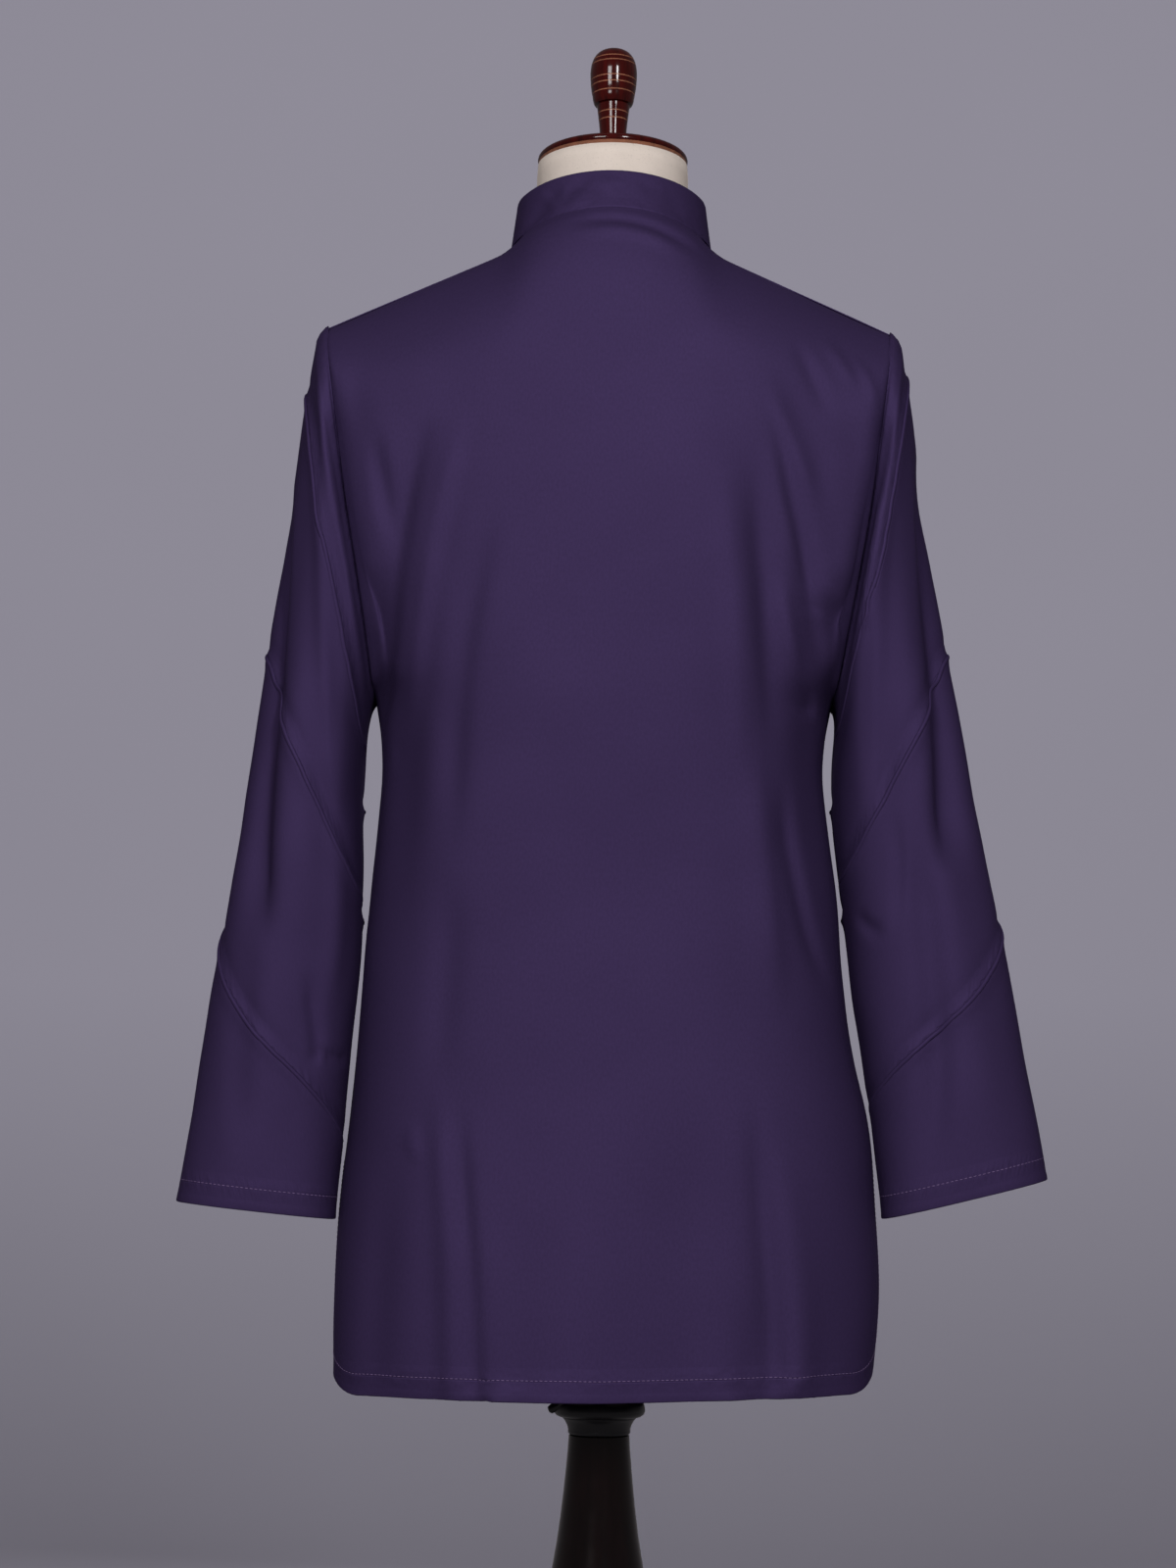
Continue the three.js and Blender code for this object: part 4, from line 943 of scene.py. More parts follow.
def finish_named(name):
    """Each finish is made once and shared by its pieces."""
    scene = bpy.context.scene
    cloth, form, stage = scene.kurta_cloth, scene.kurta_form, scene.kurta_stage
    makers = {
        "cloth": lambda: cloth_finish(cloth),
        "thread": lambda: thread_finish(cloth),
        "button": lambda: button_finish(cloth),
        "canvas": lambda: canvas_finish(form),
        "lacquer": lambda: wood_finish("red_lacquer", form.lacquer, 0.45, 0.12),
        "groove": lambda: wood_finish("bare_groove", form.groove, 0.7, 0.3),
        "dark_wood": lambda: wood_finish("dark_gloss_wood", form.wood, 0.5, 0.12, 6.0),
        "black_metal": lambda: painted_finish(form),
        "steel": lambda: steel_finish(form),
        "floor": lambda: floor_finish(stage),
    }
    if name not in FINISHES:
        FINISHES[name] = makers[name]()
    return FINISHES[name]


# ------------------------------------------------------------------ sewing


def path_curve(line):
    """A curve object along a line of points."""
    curve = bpy.data.curves.new("seam_path", "CURVE")
    curve.dimensions = "3D"
    spline = curve.splines.new("POLY")
    spline.points.add(len(line) - 1)
    spline.points.foreach_set("co", np.column_stack([line, np.ones(len(line))]).ravel())
    return new_object("seam_path", curve)


def run_of_stitches(line, settings):
    """Thread stitches one after another along a line."""
    path = path_curve(even_line(line, 4 * MM))
    deselect_all()
    bpy.ops.mesh.primitive_uv_sphere_add(segments=6, ring_count=5, radius=settings.thread / 2)
    stitch = bpy.context.object
    with editing(stitch):
        bpy.ops.transform.rotate(value=math.pi / 2, orient_axis="Y", center_override=(0, 0, 0))
        bpy.ops.transform.resize(value=(settings.stitch / settings.thread, 1, 1), center_override=(0, 0, 0))
        bpy.ops.transform.translate(value=(settings.stitch / 2, 0, 0))
    finish_modifier(
        stitch,
        "ARRAY",
        fit_type="FIT_CURVE",
        curve=path,
        use_relative_offset=False,
        use_constant_offset=True,
        constant_offset_displace=(settings.stitch + settings.gap, 0, 0),
    )
    finish_modifier(stitch, "CURVE", object=path, deform_axis="POS_X")
    remove(path)
    return stitch


def stitching(name, sheet, lines, settings):
    """Runs of stitches along lines on a sheet, as one piece."""
    runs = [run_of_stitches(lift_line(sheet, line, ON_CLOTH)[0], settings) for line in lines]
    sewing = join(runs, name)
    settle(sewing, "form", finish_named("thread"))
    make_active(sewing)
    bpy.ops.object.shade_smooth()
    return sewing


# ------------------------------------------------------------------ the kurta's pieces

SHEETS = {}


def settle_cloth(name, sheet, node, settings, parts, **cut):
    """The sheet's mesh in place of its node; the pieces that are sewn on it (parts) are not used."""
    cloth = sheet.mesh(name, settings.wall, finish_named("cloth"))
    settle(cloth, "form")
    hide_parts(node)


def lift_line(sheet, line, lift):
    """A line laid on the sheet's outer side and raised by lift, with the sheet's normals along it."""
    tree = sheet.tree()
    normals = sheet.normals().reshape(-1, 3)
    points = sheet.points.reshape(-1, 3)
    laid, upward = [], []
    for place in line:
        nearest = np.array(tree.find_nearest(Vector(place))[0])
        normal = normals[np.linalg.norm(points - nearest, axis=1).argmin()]
        laid.append(nearest + normal * lift)
        upward.append(normal)
    return np.array(laid), np.array(upward)


def distance_from(sheet, line):
    """Each point's distance from a line, and on which side of the line it lies."""
    points = sheet.points.reshape(-1, 3)
    line = even_line(line, 2 * MM)
    tangents = unit(np.gradient(line, axis=0))
    normals = sheet.normals().reshape(-1, 3)
    distance, side = np.empty(len(points)), np.empty(len(points))
    for start in range(0, len(points), 4000):
        part = slice(start, start + 4000)
        away = points[part, None] - line[None]
        lengths = np.linalg.norm(away, axis=-1)
        nearest = lengths.argmin(axis=1)
        distance[part] = lengths.min(axis=1)
        offset = points[part] - line[nearest]
        side[part] = np.sign((np.cross(tangents[nearest], normals[part]) * offset).sum(axis=1))
    shape = sheet.points.shape[:2]
    return distance.reshape(shape), side.reshape(shape)


def make_panel(name, toward, settings, seed):
    """A panel's sheet with its ripples, its creases and its sunk armholes."""
    sheet = woven(panel_rows(name, toward), settings.cell, from_body)
    rows, columns = sheet.points.shape[:2]
    across = np.abs(np.linspace(-1, 1, columns))[None, :]
    up = np.linspace(0, 1, rows)[:, None]
    side_edge, top_edge = 0.055, 0.05
    sheet.room = ease((1 - across) / side_edge) * ease((1 - up) / top_edge)
    if name == "panel_front":  # it lies flat under the placket
        beside = ease((np.abs(sheet.points[:, :, 0]) - 24 * MM) / (30 * MM))
        below = ease((1100 * MM - sheet.points[:, :, 2]) / (60 * MM))
        sheet.room = sheet.room * np.maximum(beside, below)
    ripple(sheet, 110 * MM, 1.5 * MM, seed)
    ripple(sheet, 45 * MM, 0.5 * MM, seed + 4)
    crease_sheet(sheet, name, settings.crease)
    from_side = sheet.across()
    sink_armhole(sheet, np.minimum(from_side, from_side[:, -1:] - from_side))
    SHEETS[name] = sheet
    return sheet


def sink_armhole(sheet, distance):
    """Draws the cloth in along the armhole seam, given each point's distance from the seam."""
    depth, height = sheet.points[:, :, 1], sheet.points[:, :, 2]
    share = ease((ARMHOLE_TOP - height) / (70 * MM)) * ease((height - ARMHOLE_LOW) / (40 * MM))
    pull = 8 * MM * share * np.exp(-((distance / (10 * MM)) ** 2))
    toward_middle = -np.clip(depth / (20 * MM), -1, 1)
    sheet.points[:, :, 1] = depth + toward_middle * pull


def panel_sewing(sheet, settings):
    """The stitch lines of a panel: its hem, and the facings of its side slits."""
    across, from_hem = sheet.across(), sheet.along()
    sides = (across, across[:, -1:] - across)
    facing, hem = settings.facing, settings.hem
    inside = (sides[0] > facing) & (sides[1] > facing)
    lines = [row_at(from_hem, sheet.points, hem)[inside[3]]]
    sheet.sew(np.where(inside, from_hem - hem, FAR))
    in_slit = (sheet.points[:, :, 2] < SLIT_TOP) & (from_hem > hem)
    for distances in sides:
        line = column_at(distances, sheet.points, facing)
        lines.append(line[in_slit[:, 0]])
        sheet.sew(np.where(in_slit, distances - facing, FAR))
        sheet.sew(np.where(sheet.points[:, :, 2] > SLIT_TOP, distances, FAR))
    sheet.sew(from_hem[-1:] - from_hem)
    return lines


def fold_panel(sheet, front, settings):
    """Turns the hem under, and laps the front panel under the back one at their seams."""
    if front:
        height = sheet.points[:, 0, 2]
        drop = settings.wall * UNDER_SEAM
        side_seam = ease((height - SLIT_TOP) / (20 * MM)) * ease((ARMPIT + 4 * MM - height) / (20 * MM))
        shoulder = ease((np.abs(sheet.points[-1, :, 0]) - 80 * MM) / (6 * MM))
        sheet.lap_under(settings.lap, drop, shoulder, at_end=True)
        side_seam = np.append(side_seam, (0, 0))  # the shoulder's lap has no side seam
        sheet.turn_over()
        for at_end in (False, True):
            sheet.lap_under(settings.lap, drop, side_seam, at_end)
        sheet.turn_over()
    sheet.fold_under(settings.hem + HEM_EDGE, settings.wall * TURNED_IN)


def slit_facings(name, sheet, settings):
    """The turned edges of the two side slits, as a second layer just inside the cloth."""
    across, from_hem = sheet.across(), sheet.along()
    normals = sheet.normals()
    rows = (sheet.points[:, 0, 2] < SLIT_TOP) & (from_hem[:, 0] > settings.hem * 0.5)
    bands = []
    steps = np.linspace(0.5 * MM, settings.facing + 1.2 * MM, 4)
    for number, distances in enumerate((across, across[:, -1:] - across)):
        places = np.array([column_at(distances, sheet.points, step)[rows] for step in steps])
        outward = np.array([unit(column_at(distances, normals, step)[rows]) for step in steps])
        points = (places - outward * settings.wall * 1.3).transpose(1, 0, 2)
        band = Sheet(points, sheet.hand if number == 0 else -sheet.hand)
        bands.append(band.mesh(f"{name}_{number}", settings.wall, finish_named("cloth")))
    return join(bands, name)


class KURTA_OT_panels(bpy.types.Operator):
    """Makes the back and front panels, with their creases, hems and slit facings"""

    bl_idname = "kurta.panels"
    bl_label = "Back and front"

    def execute(self, context):
        settings = context.scene.kurta_cloth
        for short, toward, seed in (("back", BACK, 3), ("front", FRONT, 11)):
            sheet = make_panel(f"panel_{short}", toward, settings, seed)
            sewing = stitching(f"stitches_{short}", sheet, panel_sewing(sheet, settings), settings)
            facings = slit_facings(f"slit_facings_{short}", sheet, settings)
            settle(facings, "form")
            whole = deepcopy(sheet)
            fold_panel(whole, short == "front", settings)
            settle_cloth(
                f"cloth_{short}", whole, f"panel_{short}", settings, [facings, sewing],
                flat=(0.60, 0.96), held="hung", rests_on=["form_torso"], area=0.47,
            )
        return {"FINISHED"}


def tuck_line(node, outward):
    """The middle line of a tuck's outer side, once round its sleeve."""
    bm = outer_sheet(node, outward, 58)
    ends = [v for v in bm.verts if v.is_boundary and len(v.link_faces) == 1]
    start = min(ends, key=lambda v: v.co.y)
    second = min(border_neighbours(start), key=lambda v: (v.co - start.co).length)
    return sheet_rows(bm, [start, second]).mean(axis=1)


def round_angles(sheet):
    """The angle of each column of a sleeve, from its shoulder line on."""
    return np.linspace(0, 2 * math.pi, sheet.points.shape[1], endpoint=False)


def shape_sleeve(sheet, node, lines, settings, seed):
    """The sleeve's softness: ripples, creases, the roll at its head, and the pull of its tucks."""
    along = sheet.along()
    sheet.room = ease(along / (30 * MM))
    ripple(sheet, 90 * MM, 1.6 * MM, seed)
    ripple(sheet, 40 * MM, 0.6 * MM, seed + 5)
    crease_sheet(sheet, node, settings.crease)
    sheet.room = np.ones(along.shape)
    around = round_angles(sheet)[None, :]
    top = 0.55 + 0.45 * np.cos(around)  # most at the shoulder
    roll = 1.8 * top * np.exp(-(((along - 9 * MM) / (6 * MM)) ** 2)) * ease(along / (4 * MM))
    swell = 2.6 * np.abs(np.sin(around)) * np.exp(-(((along - 15 * MM) / (11 * MM)) ** 2))
    gathers = 0.35 * np.sin(around * 26 + 1.4 * np.sin(around * 3)) * np.exp(-along / (22 * MM))
    sheet.move((roll + (swell + gathers * top) * ease(along / (5 * MM))) * MM)
    sink_armhole(sheet, along)
    for line in lines:
        distance, side = distance_from(sheet, line)
        lift = 1.3 * np.exp(-((distance / (5.5 * MM)) ** 2))
        drop = -0.9 * np.exp(-(((distance - 8 * MM) / (6 * MM)) ** 2)) * (side * sheet.hand > 0)
        sheet.move((lift + drop) * MM)


class KURTA_OT_sleeves(bpy.types.Operator):
    """Makes both sleeves with their creases, pin tucks and cuff hems"""

    bl_idname = "kurta.sleeves"
    bl_label = "Sleeves"

    def execute(self, context):
        settings = context.scene.kurta_cloth
        for side, outward, seed in (("left", LEFT, 21), ("right", RIGHT, 33)):
            node = f"sleeve_{side}"
            sheet = woven(sleeve_rows(node, outward), settings.cell, from_arm, closed=True)
            tucks = {name: tuck_line(name, outward) for name in (f"tuck_{side}_{k}" for k in "abc")}
            shape_sleeve(sheet, node, tucks.values(), settings, seed)
            from_cuff = sheet.along()[-1:] - sheet.along()
            sheet.sew(from_cuff - settings.cuff)
            sheet.sew(sheet.along())
            parts = []
            for name, line in tucks.items():
                parts.append(self.pin_tuck(name, sheet, line))
                distance, side_of = distance_from(sheet, line)
                sheet.sew(np.where(side_of * sheet.hand > 0, distance - 2.2 * MM, FAR))
            cuff = row_at(from_cuff, sheet.points, settings.cuff)
            cuff_line = np.concatenate([cuff, cuff[:1]])
            parts.append(stitching(f"stitches_cuff_{side}", sheet, [cuff_line], settings))
            lap_share = 0.15 + 0.85 * np.abs(np.sin(round_angles(sheet)))  # short at the shoulder's tip
            sheet.lap_under(settings.sleeve_lap, settings.wall * UNDER_SEAM, lap_share)
            sheet.fold_under(settings.cuff + HEM_EDGE, settings.wall * TURNED_IN, at_end=True)
            settle_cloth(
                f"cloth_sleeve_{side}", sheet, node, settings, parts,
                flat=(0.38, 0.74), held="hung", rests_on=["form_torso"], area=0.22,
            )
        return {"FINISHED"}

    def pin_tuck(self, node, sheet, line):
        """A narrow fold stitched down along a line, rounded and leaning a little toward the cuff."""
        places, normals = (even_out(run) for run in lift_line(sheet, even_line(line, 3 * MM), 0.0))
        normals = unit(normals)
        tangents = unit(np.gradient(places, axis=0))
        sideways = unit(np.cross(tangents, normals)) * sheet.hand
        outline = [(-1.7, -0.5), (-1.5, 0.2), (-0.9, 0.85), (0.0, 1.2)]  # across and up, in millimetres
        outline += [(0.9, 1.15), (1.6, 0.75), (1.95, 0.2), (1.7, -0.5)]
        count = len(places)
        ends = np.minimum(np.arange(count), np.arange(count)[::-1])
        grow = (0.35 + 0.65 * ease(ends / 3))[:, None]
        rows = [
            places + sideways * across * grow * MM + normals * up * np.where(up > 0, grow, 1) * MM
            for across, up in outline
        ]
        fold = Sheet(np.array(rows).transpose(1, 0, 2), closed=True)
        fold.face(from_arm(fold.points))
        ridge = fold.mesh(f"{node}_fold", 0.4 * MM, finish_named("cloth"))
        settle(ridge, "form")
        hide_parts(node)
        return ridge


def even_out(run):
    """Softens a run of points or directions a little, with its ends kept."""
    for _ in range(3):
        run[1:-1] = run[1:-1] / 2 + (run[:-2] + run[2:]) / 4
    return run


class KURTA_OT_collar(bpy.types.Operator):
    """Makes the stand collar, two layers of cloth"""

    bl_idname = "kurta.collar"
    bl_label = "Collar"

    def execute(self, context):
        settings = context.scene.kurta_cloth
        sheet = woven(collar_rows("collar"), 3.2 * MM, from_neck, rounds=2, least=10)
        from_seam = sheet.along()
        sheet.room = ease(from_seam / (7 * MM)) * ease((from_seam[-1:] - from_seam) / (14 * MM))
        crease_sheet(sheet, "collar", settings.crease)
        sheet.room = np.ones(sheet.room.shape)
        sheet.move(1.2 * MM)
        sheet.sew(from_seam)
        sheet.fold_under(24 * MM, settings.wall * TURNED_IN, at_end=True)
        settle_cloth(
            "cloth_collar", sheet, "collar", settings, [],
            flat=(0.47, 0.075), held="stretched", rests_on=["cloth_back", "cloth_front"],
        )
        return {"FINISHED"}


class KURTA_OT_placket(bpy.types.Operator):
    """Makes the button placket down the front, with its edge stitching"""

    bl_idname = "kurta.placket"
    bl_label = "Placket"

    def execute(self, context):
        settings = context.scene.kurta_cloth
        sheet = woven(placket_rows("placket"), 3 * MM, lambda points: points * (0, 1, 0), rounds=2, least=12)
        laid = lift_line(SHEETS["panel_front"], sheet.points.reshape(-1, 3), 1.5 * MM)[0]
        sheet.points = laid.reshape(sheet.points.shape)
        edge, bar = 2 * MM, 26 * MM  # the stitches' distance from the edges, and a second row's height
        across, from_end = sheet.across(), sheet.along()
        sides = (across, across[:, -1:] - across)
        inside = (sides[0][0] > edge) & (sides[1][0] > edge)
        lines = [column_at(distances, sheet.points, edge) for distances in sides]
        lines += [row_at(from_end, sheet.points, up)[inside] for up in (edge, bar)]
        for distances in (sides[0] - edge, sides[1] - edge, from_end - edge, from_end - bar):
            sheet.sew(distances)
        sewing = stitching("stitches_placket", sheet, lines, settings)
        strip = sheet.mesh("cloth_placket", 1.2 * MM, finish_named("cloth"))
        settle(strip, "form")
        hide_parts("placket")
        return {"FINISHED"}


def placket_rows(node):
    """The placket's rows from its bottom edge up."""
    bm = outer_sheet(node, FRONT)
    corners = sorted((v for v in bm.verts if v.is_boundary), key=lambda v: v.co.z)[:3]
    return sheet_rows(bm, sorted(corners, key=lambda v: v.co.x))


class KURTA_OT_buttons(bpy.types.Operator):
    """Makes the four buttons, each with four holes and its thread"""

    bl_idname = "kurta.buttons"
    bl_label = "Buttons"

    def execute(self, context):
        model, thread = self.button(), self.thread()
        for number in range(1, 5):
            node = f"button_{number}"
            turn = self.place(node)
            disc = self.copy_at(model, f"{node}_disc", turn)
            settle(disc, "form", finish_named("button"))
            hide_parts(node)
            bars = self.copy_at(thread, f"{node}_thread", turn)
            settle(bars, "form", finish_named("thread"))
        remove(model)
        remove(thread)
        return {"FINISHED"}

    def place(self, node):
        """The turn and shift of a node's flat round disc, with its face forward."""
        points = np.array([v.co[:] for v in NODES[node].data.vertices])
        middle = (points.max(axis=0) + points.min(axis=0)) / 2
        normal = Vector(np.linalg.svd(points - points.mean(axis=0))[2][2])
        if normal.y > 0:
            normal = -normal
        turn = normal.to_track_quat("Z", "Y").to_matrix().to_4x4()
        turn.translation = Vector(middle)
        return turn

    def copy_at(self, model, name, turn):
        copy = new_object(name, model.data.copy())
        copy.matrix_world = turn
        return copy

    def button(self):
        """A dished disc with four holes, flat on the origin and facing up."""
        profile = [
            (0.3, -1.2), (4.4, -1.2), (5.1, -0.9), (5.5, -0.3), (5.5, 0.3), (5.25, 0.9), (4.8, 1.2),
            (4.3, 1.2), (3.9, 1.0), (3.6, 0.6), (3.0, 0.4), (0.3, 0.35),
        ]
        disc = turned("button_model", profile, 40)
        deselect_all()
        drills = []
        from_middle, hole = 1.5 * MM, 0.6 * MM
        for k in range(4):
            angle = math.pi / 4 + k * math.pi / 2
            place = (from_middle * math.cos(angle), from_middle * math.sin(angle), 0)
            bpy.ops.mesh.primitive_cylinder_add(vertices=14, radius=hole, depth=6 * MM, location=place)
            drills.append(bpy.context.object)
        drill = join(drills, "drill")
        finish_modifier(disc, "BOOLEAN", operation="DIFFERENCE", object=drill, solver="EXACT")
        remove(drill)
        smooth_faces(disc, 40)
        return disc

    def thread(self):
        """Two bars of two strands each, which run from hole to hole."""
        bars = []
        strand_radius, stretch, height = 0.24 * MM, 6.2, 0.62 * MM
        for y in (-1.3, -0.82, 0.82, 1.3):
            deselect_all()
            place = (0, y * MM, height)
            bpy.ops.mesh.primitive_uv_sphere_add(
                segments=8, ring_count=8, radius=strand_radius, location=place
            )
            bar = bpy.context.object
            bar.scale = (stretch, 1, 1)
            bars.append(bar)
        thread = join(bars, "thread_model")
        make_active(thread)
        bpy.ops.object.transform_apply(location=True, rotation=True, scale=True)
        bpy.ops.object.shade_smooth()
        return thread


# ------------------------------------------------------------------ the dress form and its stand


# A turned piece: the body it rides on, its finish, the step of its smooth profile in millimetres, and the
# knots of that profile as radius and height. The ferrule's and the column cap's go once round their wall.
Turned = namedtuple("Turned", "body slot step knots")

TURNED = {
    "neck_cap": Turned("form", "lacquer", 1.2, [
        (1, 1583.3), (56, 1583.3), (57.2, 1583.5), (60.4, 1586.2), (61, 1587.6), (60.9, 1589),
        (59.8, 1590.8), (57, 1592.4), (50, 1594.6), (40, 1596.4), (30, 1597.6), (20, 1598.6), (14, 1599),
        (1, 1599),
    ]),
    "finial": Turned("form", "lacquer", 1.1, [
        (1, 1599.3), (12.6, 1599.3), (13, 1600), (12.9, 1601.6), (11.6, 1603.6), (11, 1606), (10.8, 1611),
        (11.3, 1618), (12.2, 1626), (13.2, 1634), (13.4, 1635.6), (15.3, 1636.2), (15.9, 1637.4),
        (17.2, 1643.5), (18.3, 1650), (18.9, 1657), (19, 1664), (18.3, 1669.5), (16.6, 1674.5),
        (13.8, 1678.6), (9.5, 1681.5), (5, 1682.8), (1, 1683),
    ]),
    "base": Turned("stand", "dark_wood", 2.4, [
        (2, 0), (184, 0), (187.5, 0.8), (189.6, 3.2), (190, 6), (190, 15), (189, 18.4), (185.6, 20.6),
        (183, 23), (180.4, 26.6), (174, 28.6), (160, 29.8), (130, 31.2), (100, 32.5), (66, 33.8),
        (62, 34), (2, 34),
    ]),
    "column": Turned("stand", "dark_wood", 2.6, [
        (14, 34.3), (57.4, 34.3), (58, 35), (58, 45), (56.5, 47), (52, 49.5), (50, 54), (46.6, 58),
        (46, 63), (46.4, 68), (44.5, 72), (40, 79), (36, 90), (33, 104), (30.8, 124), (29.8, 146),
        (30, 166), (31.4, 178), (35.6, 182), (37.4, 186), (37.4, 192), (35.6, 196), (30.4, 200),
        (28.8, 205), (29, 212), (32, 222), (37.6, 245), (42, 272), (45.4, 304), (46.6, 338), (46.2, 370),
        (43.6, 404), (39.6, 440), (35.4, 470), (31, 497), (27.6, 524), (25.2, 548), (23.6, 568),
        (23.4, 573), (13.6, 573), (13.2, 572), (13.1, 560), (13.1, 302), (12, 300), (2, 300),
    ]),
    "ferrule": Turned("stand", "black_metal", 0.9, [
        (13.2, 573.3), (23, 573.3), (23.8, 574), (24, 577), (25, 580.4), (26.6, 583.4), (28.4, 585.6),
        (28.2, 586), (13.2, 586), (13.2, 573.3),
    ]),
    "column_cap": Turned("stand", "black_metal", 0.9, [
        (13.2, 586.3), (29.6, 586.3), (33, 587.4), (34.8, 589.4), (35.2, 591.4), (34.9, 594), (34, 596.6),
        (32.4, 598), (13.2, 598), (13.2, 586.3),
    ]),
    "mast": Turned("form", "steel", 4.0, [
        (1, 380), (12, 380), (12.5, 380.6), (12.5, 738), (13.2, 738.7), (41, 738.7), (42, 739.6),
        (42, 743.8), (41.2, 744.7), (1, 744.7),
    ]),
}
GROOVE = 0.5  # half the width of a groove in the lacquer, in millimetres
GROOVE_DEPTH = 0.35
FINIAL_GROOVES = (1622.5, 1628.5, 1644.5, 1651, 1656, 1669, 1673.2)
CAP_GROOVE = 1584.9  # the middle of the bare rim under the neck cap
CAP_GROOVE_REACH = 1.5


def turned(name, profile, facets):
    """A turned piece round the Z axis, from its profile of radius and height in millimetres."""
    deselect_all()
    first_radius, first_height = profile[0]
    bpy.ops.mesh.primitive_circle_add(vertices=facets, radius=first_radius * MM, fill_type="NGON")
    obj = bpy.context.object
    obj.name = name
    with editing(obj):
        bpy.ops.mesh.select_mode(type="EDGE")
        bpy.ops.transform.translate(value=(0, 0, first_height * MM))
        for (radius, height), (was_radius, was_height) in zip(profile[1:], profile):
            shift = (0, 0, (height - was_height) * MM)
            bpy.ops.mesh.extrude_region_move(TRANSFORM_OT_translate={"value": shift})
            share = radius / was_radius
            bpy.ops.transform.resize(value=(share, share, 1), center_override=(0, 0, height * MM))
        bpy.ops.mesh.select_all(action="SELECT")
        bpy.ops.mesh.normals_make_consistent(inside=False)
    return obj


def smooth_profile(knots, step):
    """A profile with its curves rounded, and its corners and long straight lines kept."""
    places = [knots[0]]
    for before, after in zip(knots, knots[1:]):
        span = math.dist(before, after)
        if span > 40:  # a knot 1 mm from each end keeps the line between them straight
            for at in (1, span - 1):
                places.append(tuple(np.interp(at, (0, span), pair) for pair in zip(before, after)))
        places.append(after)
    return [(max(r, 0.3), z) for r, z, _ in even_line([(r, z, 0) for r, z in places], step)]


def with_grooves(profile, grooves):
    """The profile with narrow grooves cut at the given heights."""
    cut = [(r, z) for r, z in profile if all(abs(z - g) > GROOVE for g in grooves)]
    radii, heights = [r for r, _ in profile], [z for _, z in profile]
    for g in grooves:
        for offset, share in ((-1, 0), (-0.45, 1), (0.45, 1), (1, 0)):
            z = g + offset * GROOVE
            cut.append((float(np.interp(z, heights, radii)) - GROOVE_DEPTH * share, z))
    return sorted(cut, key=lambda place: place[1])


def paint_grooves(obj, grooves, reach):
    """Gives the faces in the grooves the finish of bare wood."""
    obj.data.materials.append(finish_named("groove"))
    for face in obj.data.polygons:
        height = face.center.z / MM
        if any(abs(height - g) < reach for g in grooves):
            face.material_index = 1


def turned_piece(node, settings, y=0.0, grooves=()):
    """A turned piece in place of its node, with its finish."""
    body, slot, step, knots = TURNED[node]
    profile = smooth_profile(knots, step)
    if grooves:
        profile = with_grooves(profile, grooves)
    obj = turned(f"{node}_turned", profile, settings.turns)
    obj.data.materials.append(finish_named(slot))
    if grooves:
        paint_grooves(obj, grooves, GROOVE * 0.9)
    obj.location.y = y
    settle(obj, body)
    smooth_faces(obj, 32)
    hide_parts(node)
    return obj


NECK_RADIUS = 61.5 * MM
NECK_CORE = 50 * MM  # nearer the axis than this, the neck's top is flat
NECK_LOW, NECK_TOP = 1550 * MM, 1581.5 * MM  # the stretch that is brought to a true round


class FORM_OT_torso(bpy.types.Operator):
    """Makes the limbless torso with its neck, covered with canvas"""

    bl_idname = "form.torso"
    bl_label = "Torso"

    def execute(self, context):
        torso = merged_copy("form_torso")
        torso.name = "form_torso_canvas"
        flat_enough = math.radians(60)
        with editing(torso):
            bpy.ops.mesh.tris_convert_to_quads(face_threshold=flat_enough, shape_threshold=flat_enough)
            bpy.ops.mesh.normals_make_consistent(inside=False)
            self.keep_neck_edge(torso)
        finish_modifier(torso, "SUBSURF", levels=2, render_levels=2)
        self.round_neck(torso)
        settle(torso, "form", finish_named("canvas"))
        smooth_faces(torso, 50)
        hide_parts("form_torso")
        return {"FINISHED"}

    def keep_neck_edge(self, torso):
        """Keeps the sharp edge round the top of the neck."""
        bpy.ops.mesh.select_all(action="DESELECT")
        bpy.ops.mesh.select_mode(type="EDGE")
        bm = bmesh.from_edit_mesh(torso.data)
        top = max(vertex.co.z for vertex in bm.verts) - 0.5 * MM
        for edge in bm.edges:
            if all(v.co.z > top and math.hypot(v.co.x, v.co.y - AXIS_Y) > NECK_CORE for v in edge.verts):
                edge.select_set(True)
        bmesh.update_edit_mesh(torso.data)
        bpy.ops.transform.edge_crease(value=1)

    def round_neck(self, torso):
        """Brings the upper neck to a true round, which the subdivision has drawn in."""
        for vertex in torso.data.vertices:
            height = vertex.co.z
            share = float(ease((height - NECK_LOW) / (20 * MM))) if height < NECK_TOP else 0
            away = Vector((vertex.co.x, vertex.co.y - AXIS_Y, 0))
            if share and away.length > NECK_CORE:
                vertex.co += away * (NECK_RADIUS / away.length - 1) * share


class FORM_OT_top(bpy.types.Operator):
    """Makes the turned neck cap and the finial"""

    bl_idname = "form.top"
    bl_label = "Neck cap and finial"

    def execute(self, context):
        settings = context.scene.kurta_form
        cap = turned_piece("neck_cap", settings, AXIS_Y)
        paint_grooves(cap, (CAP_GROOVE,), CAP_GROOVE_REACH)
        turned_piece("finial", settings, AXIS_Y, FINIAL_GROOVES)
        return {"FINISHED"}


class STAND_OT_column(bpy.types.Operator):
    """Makes the turned base and column, with the ferrule, the cap and the mast"""

    bl_idname = "stand.column"
    bl_label = "Base, column and mast"

    def execute(self, context):
        settings = context.scene.kurta_form
        for node in ("base", "column", "ferrule", "column_cap", "mast"):
            turned_piece(node, settings)
        return {"FINISHED"}


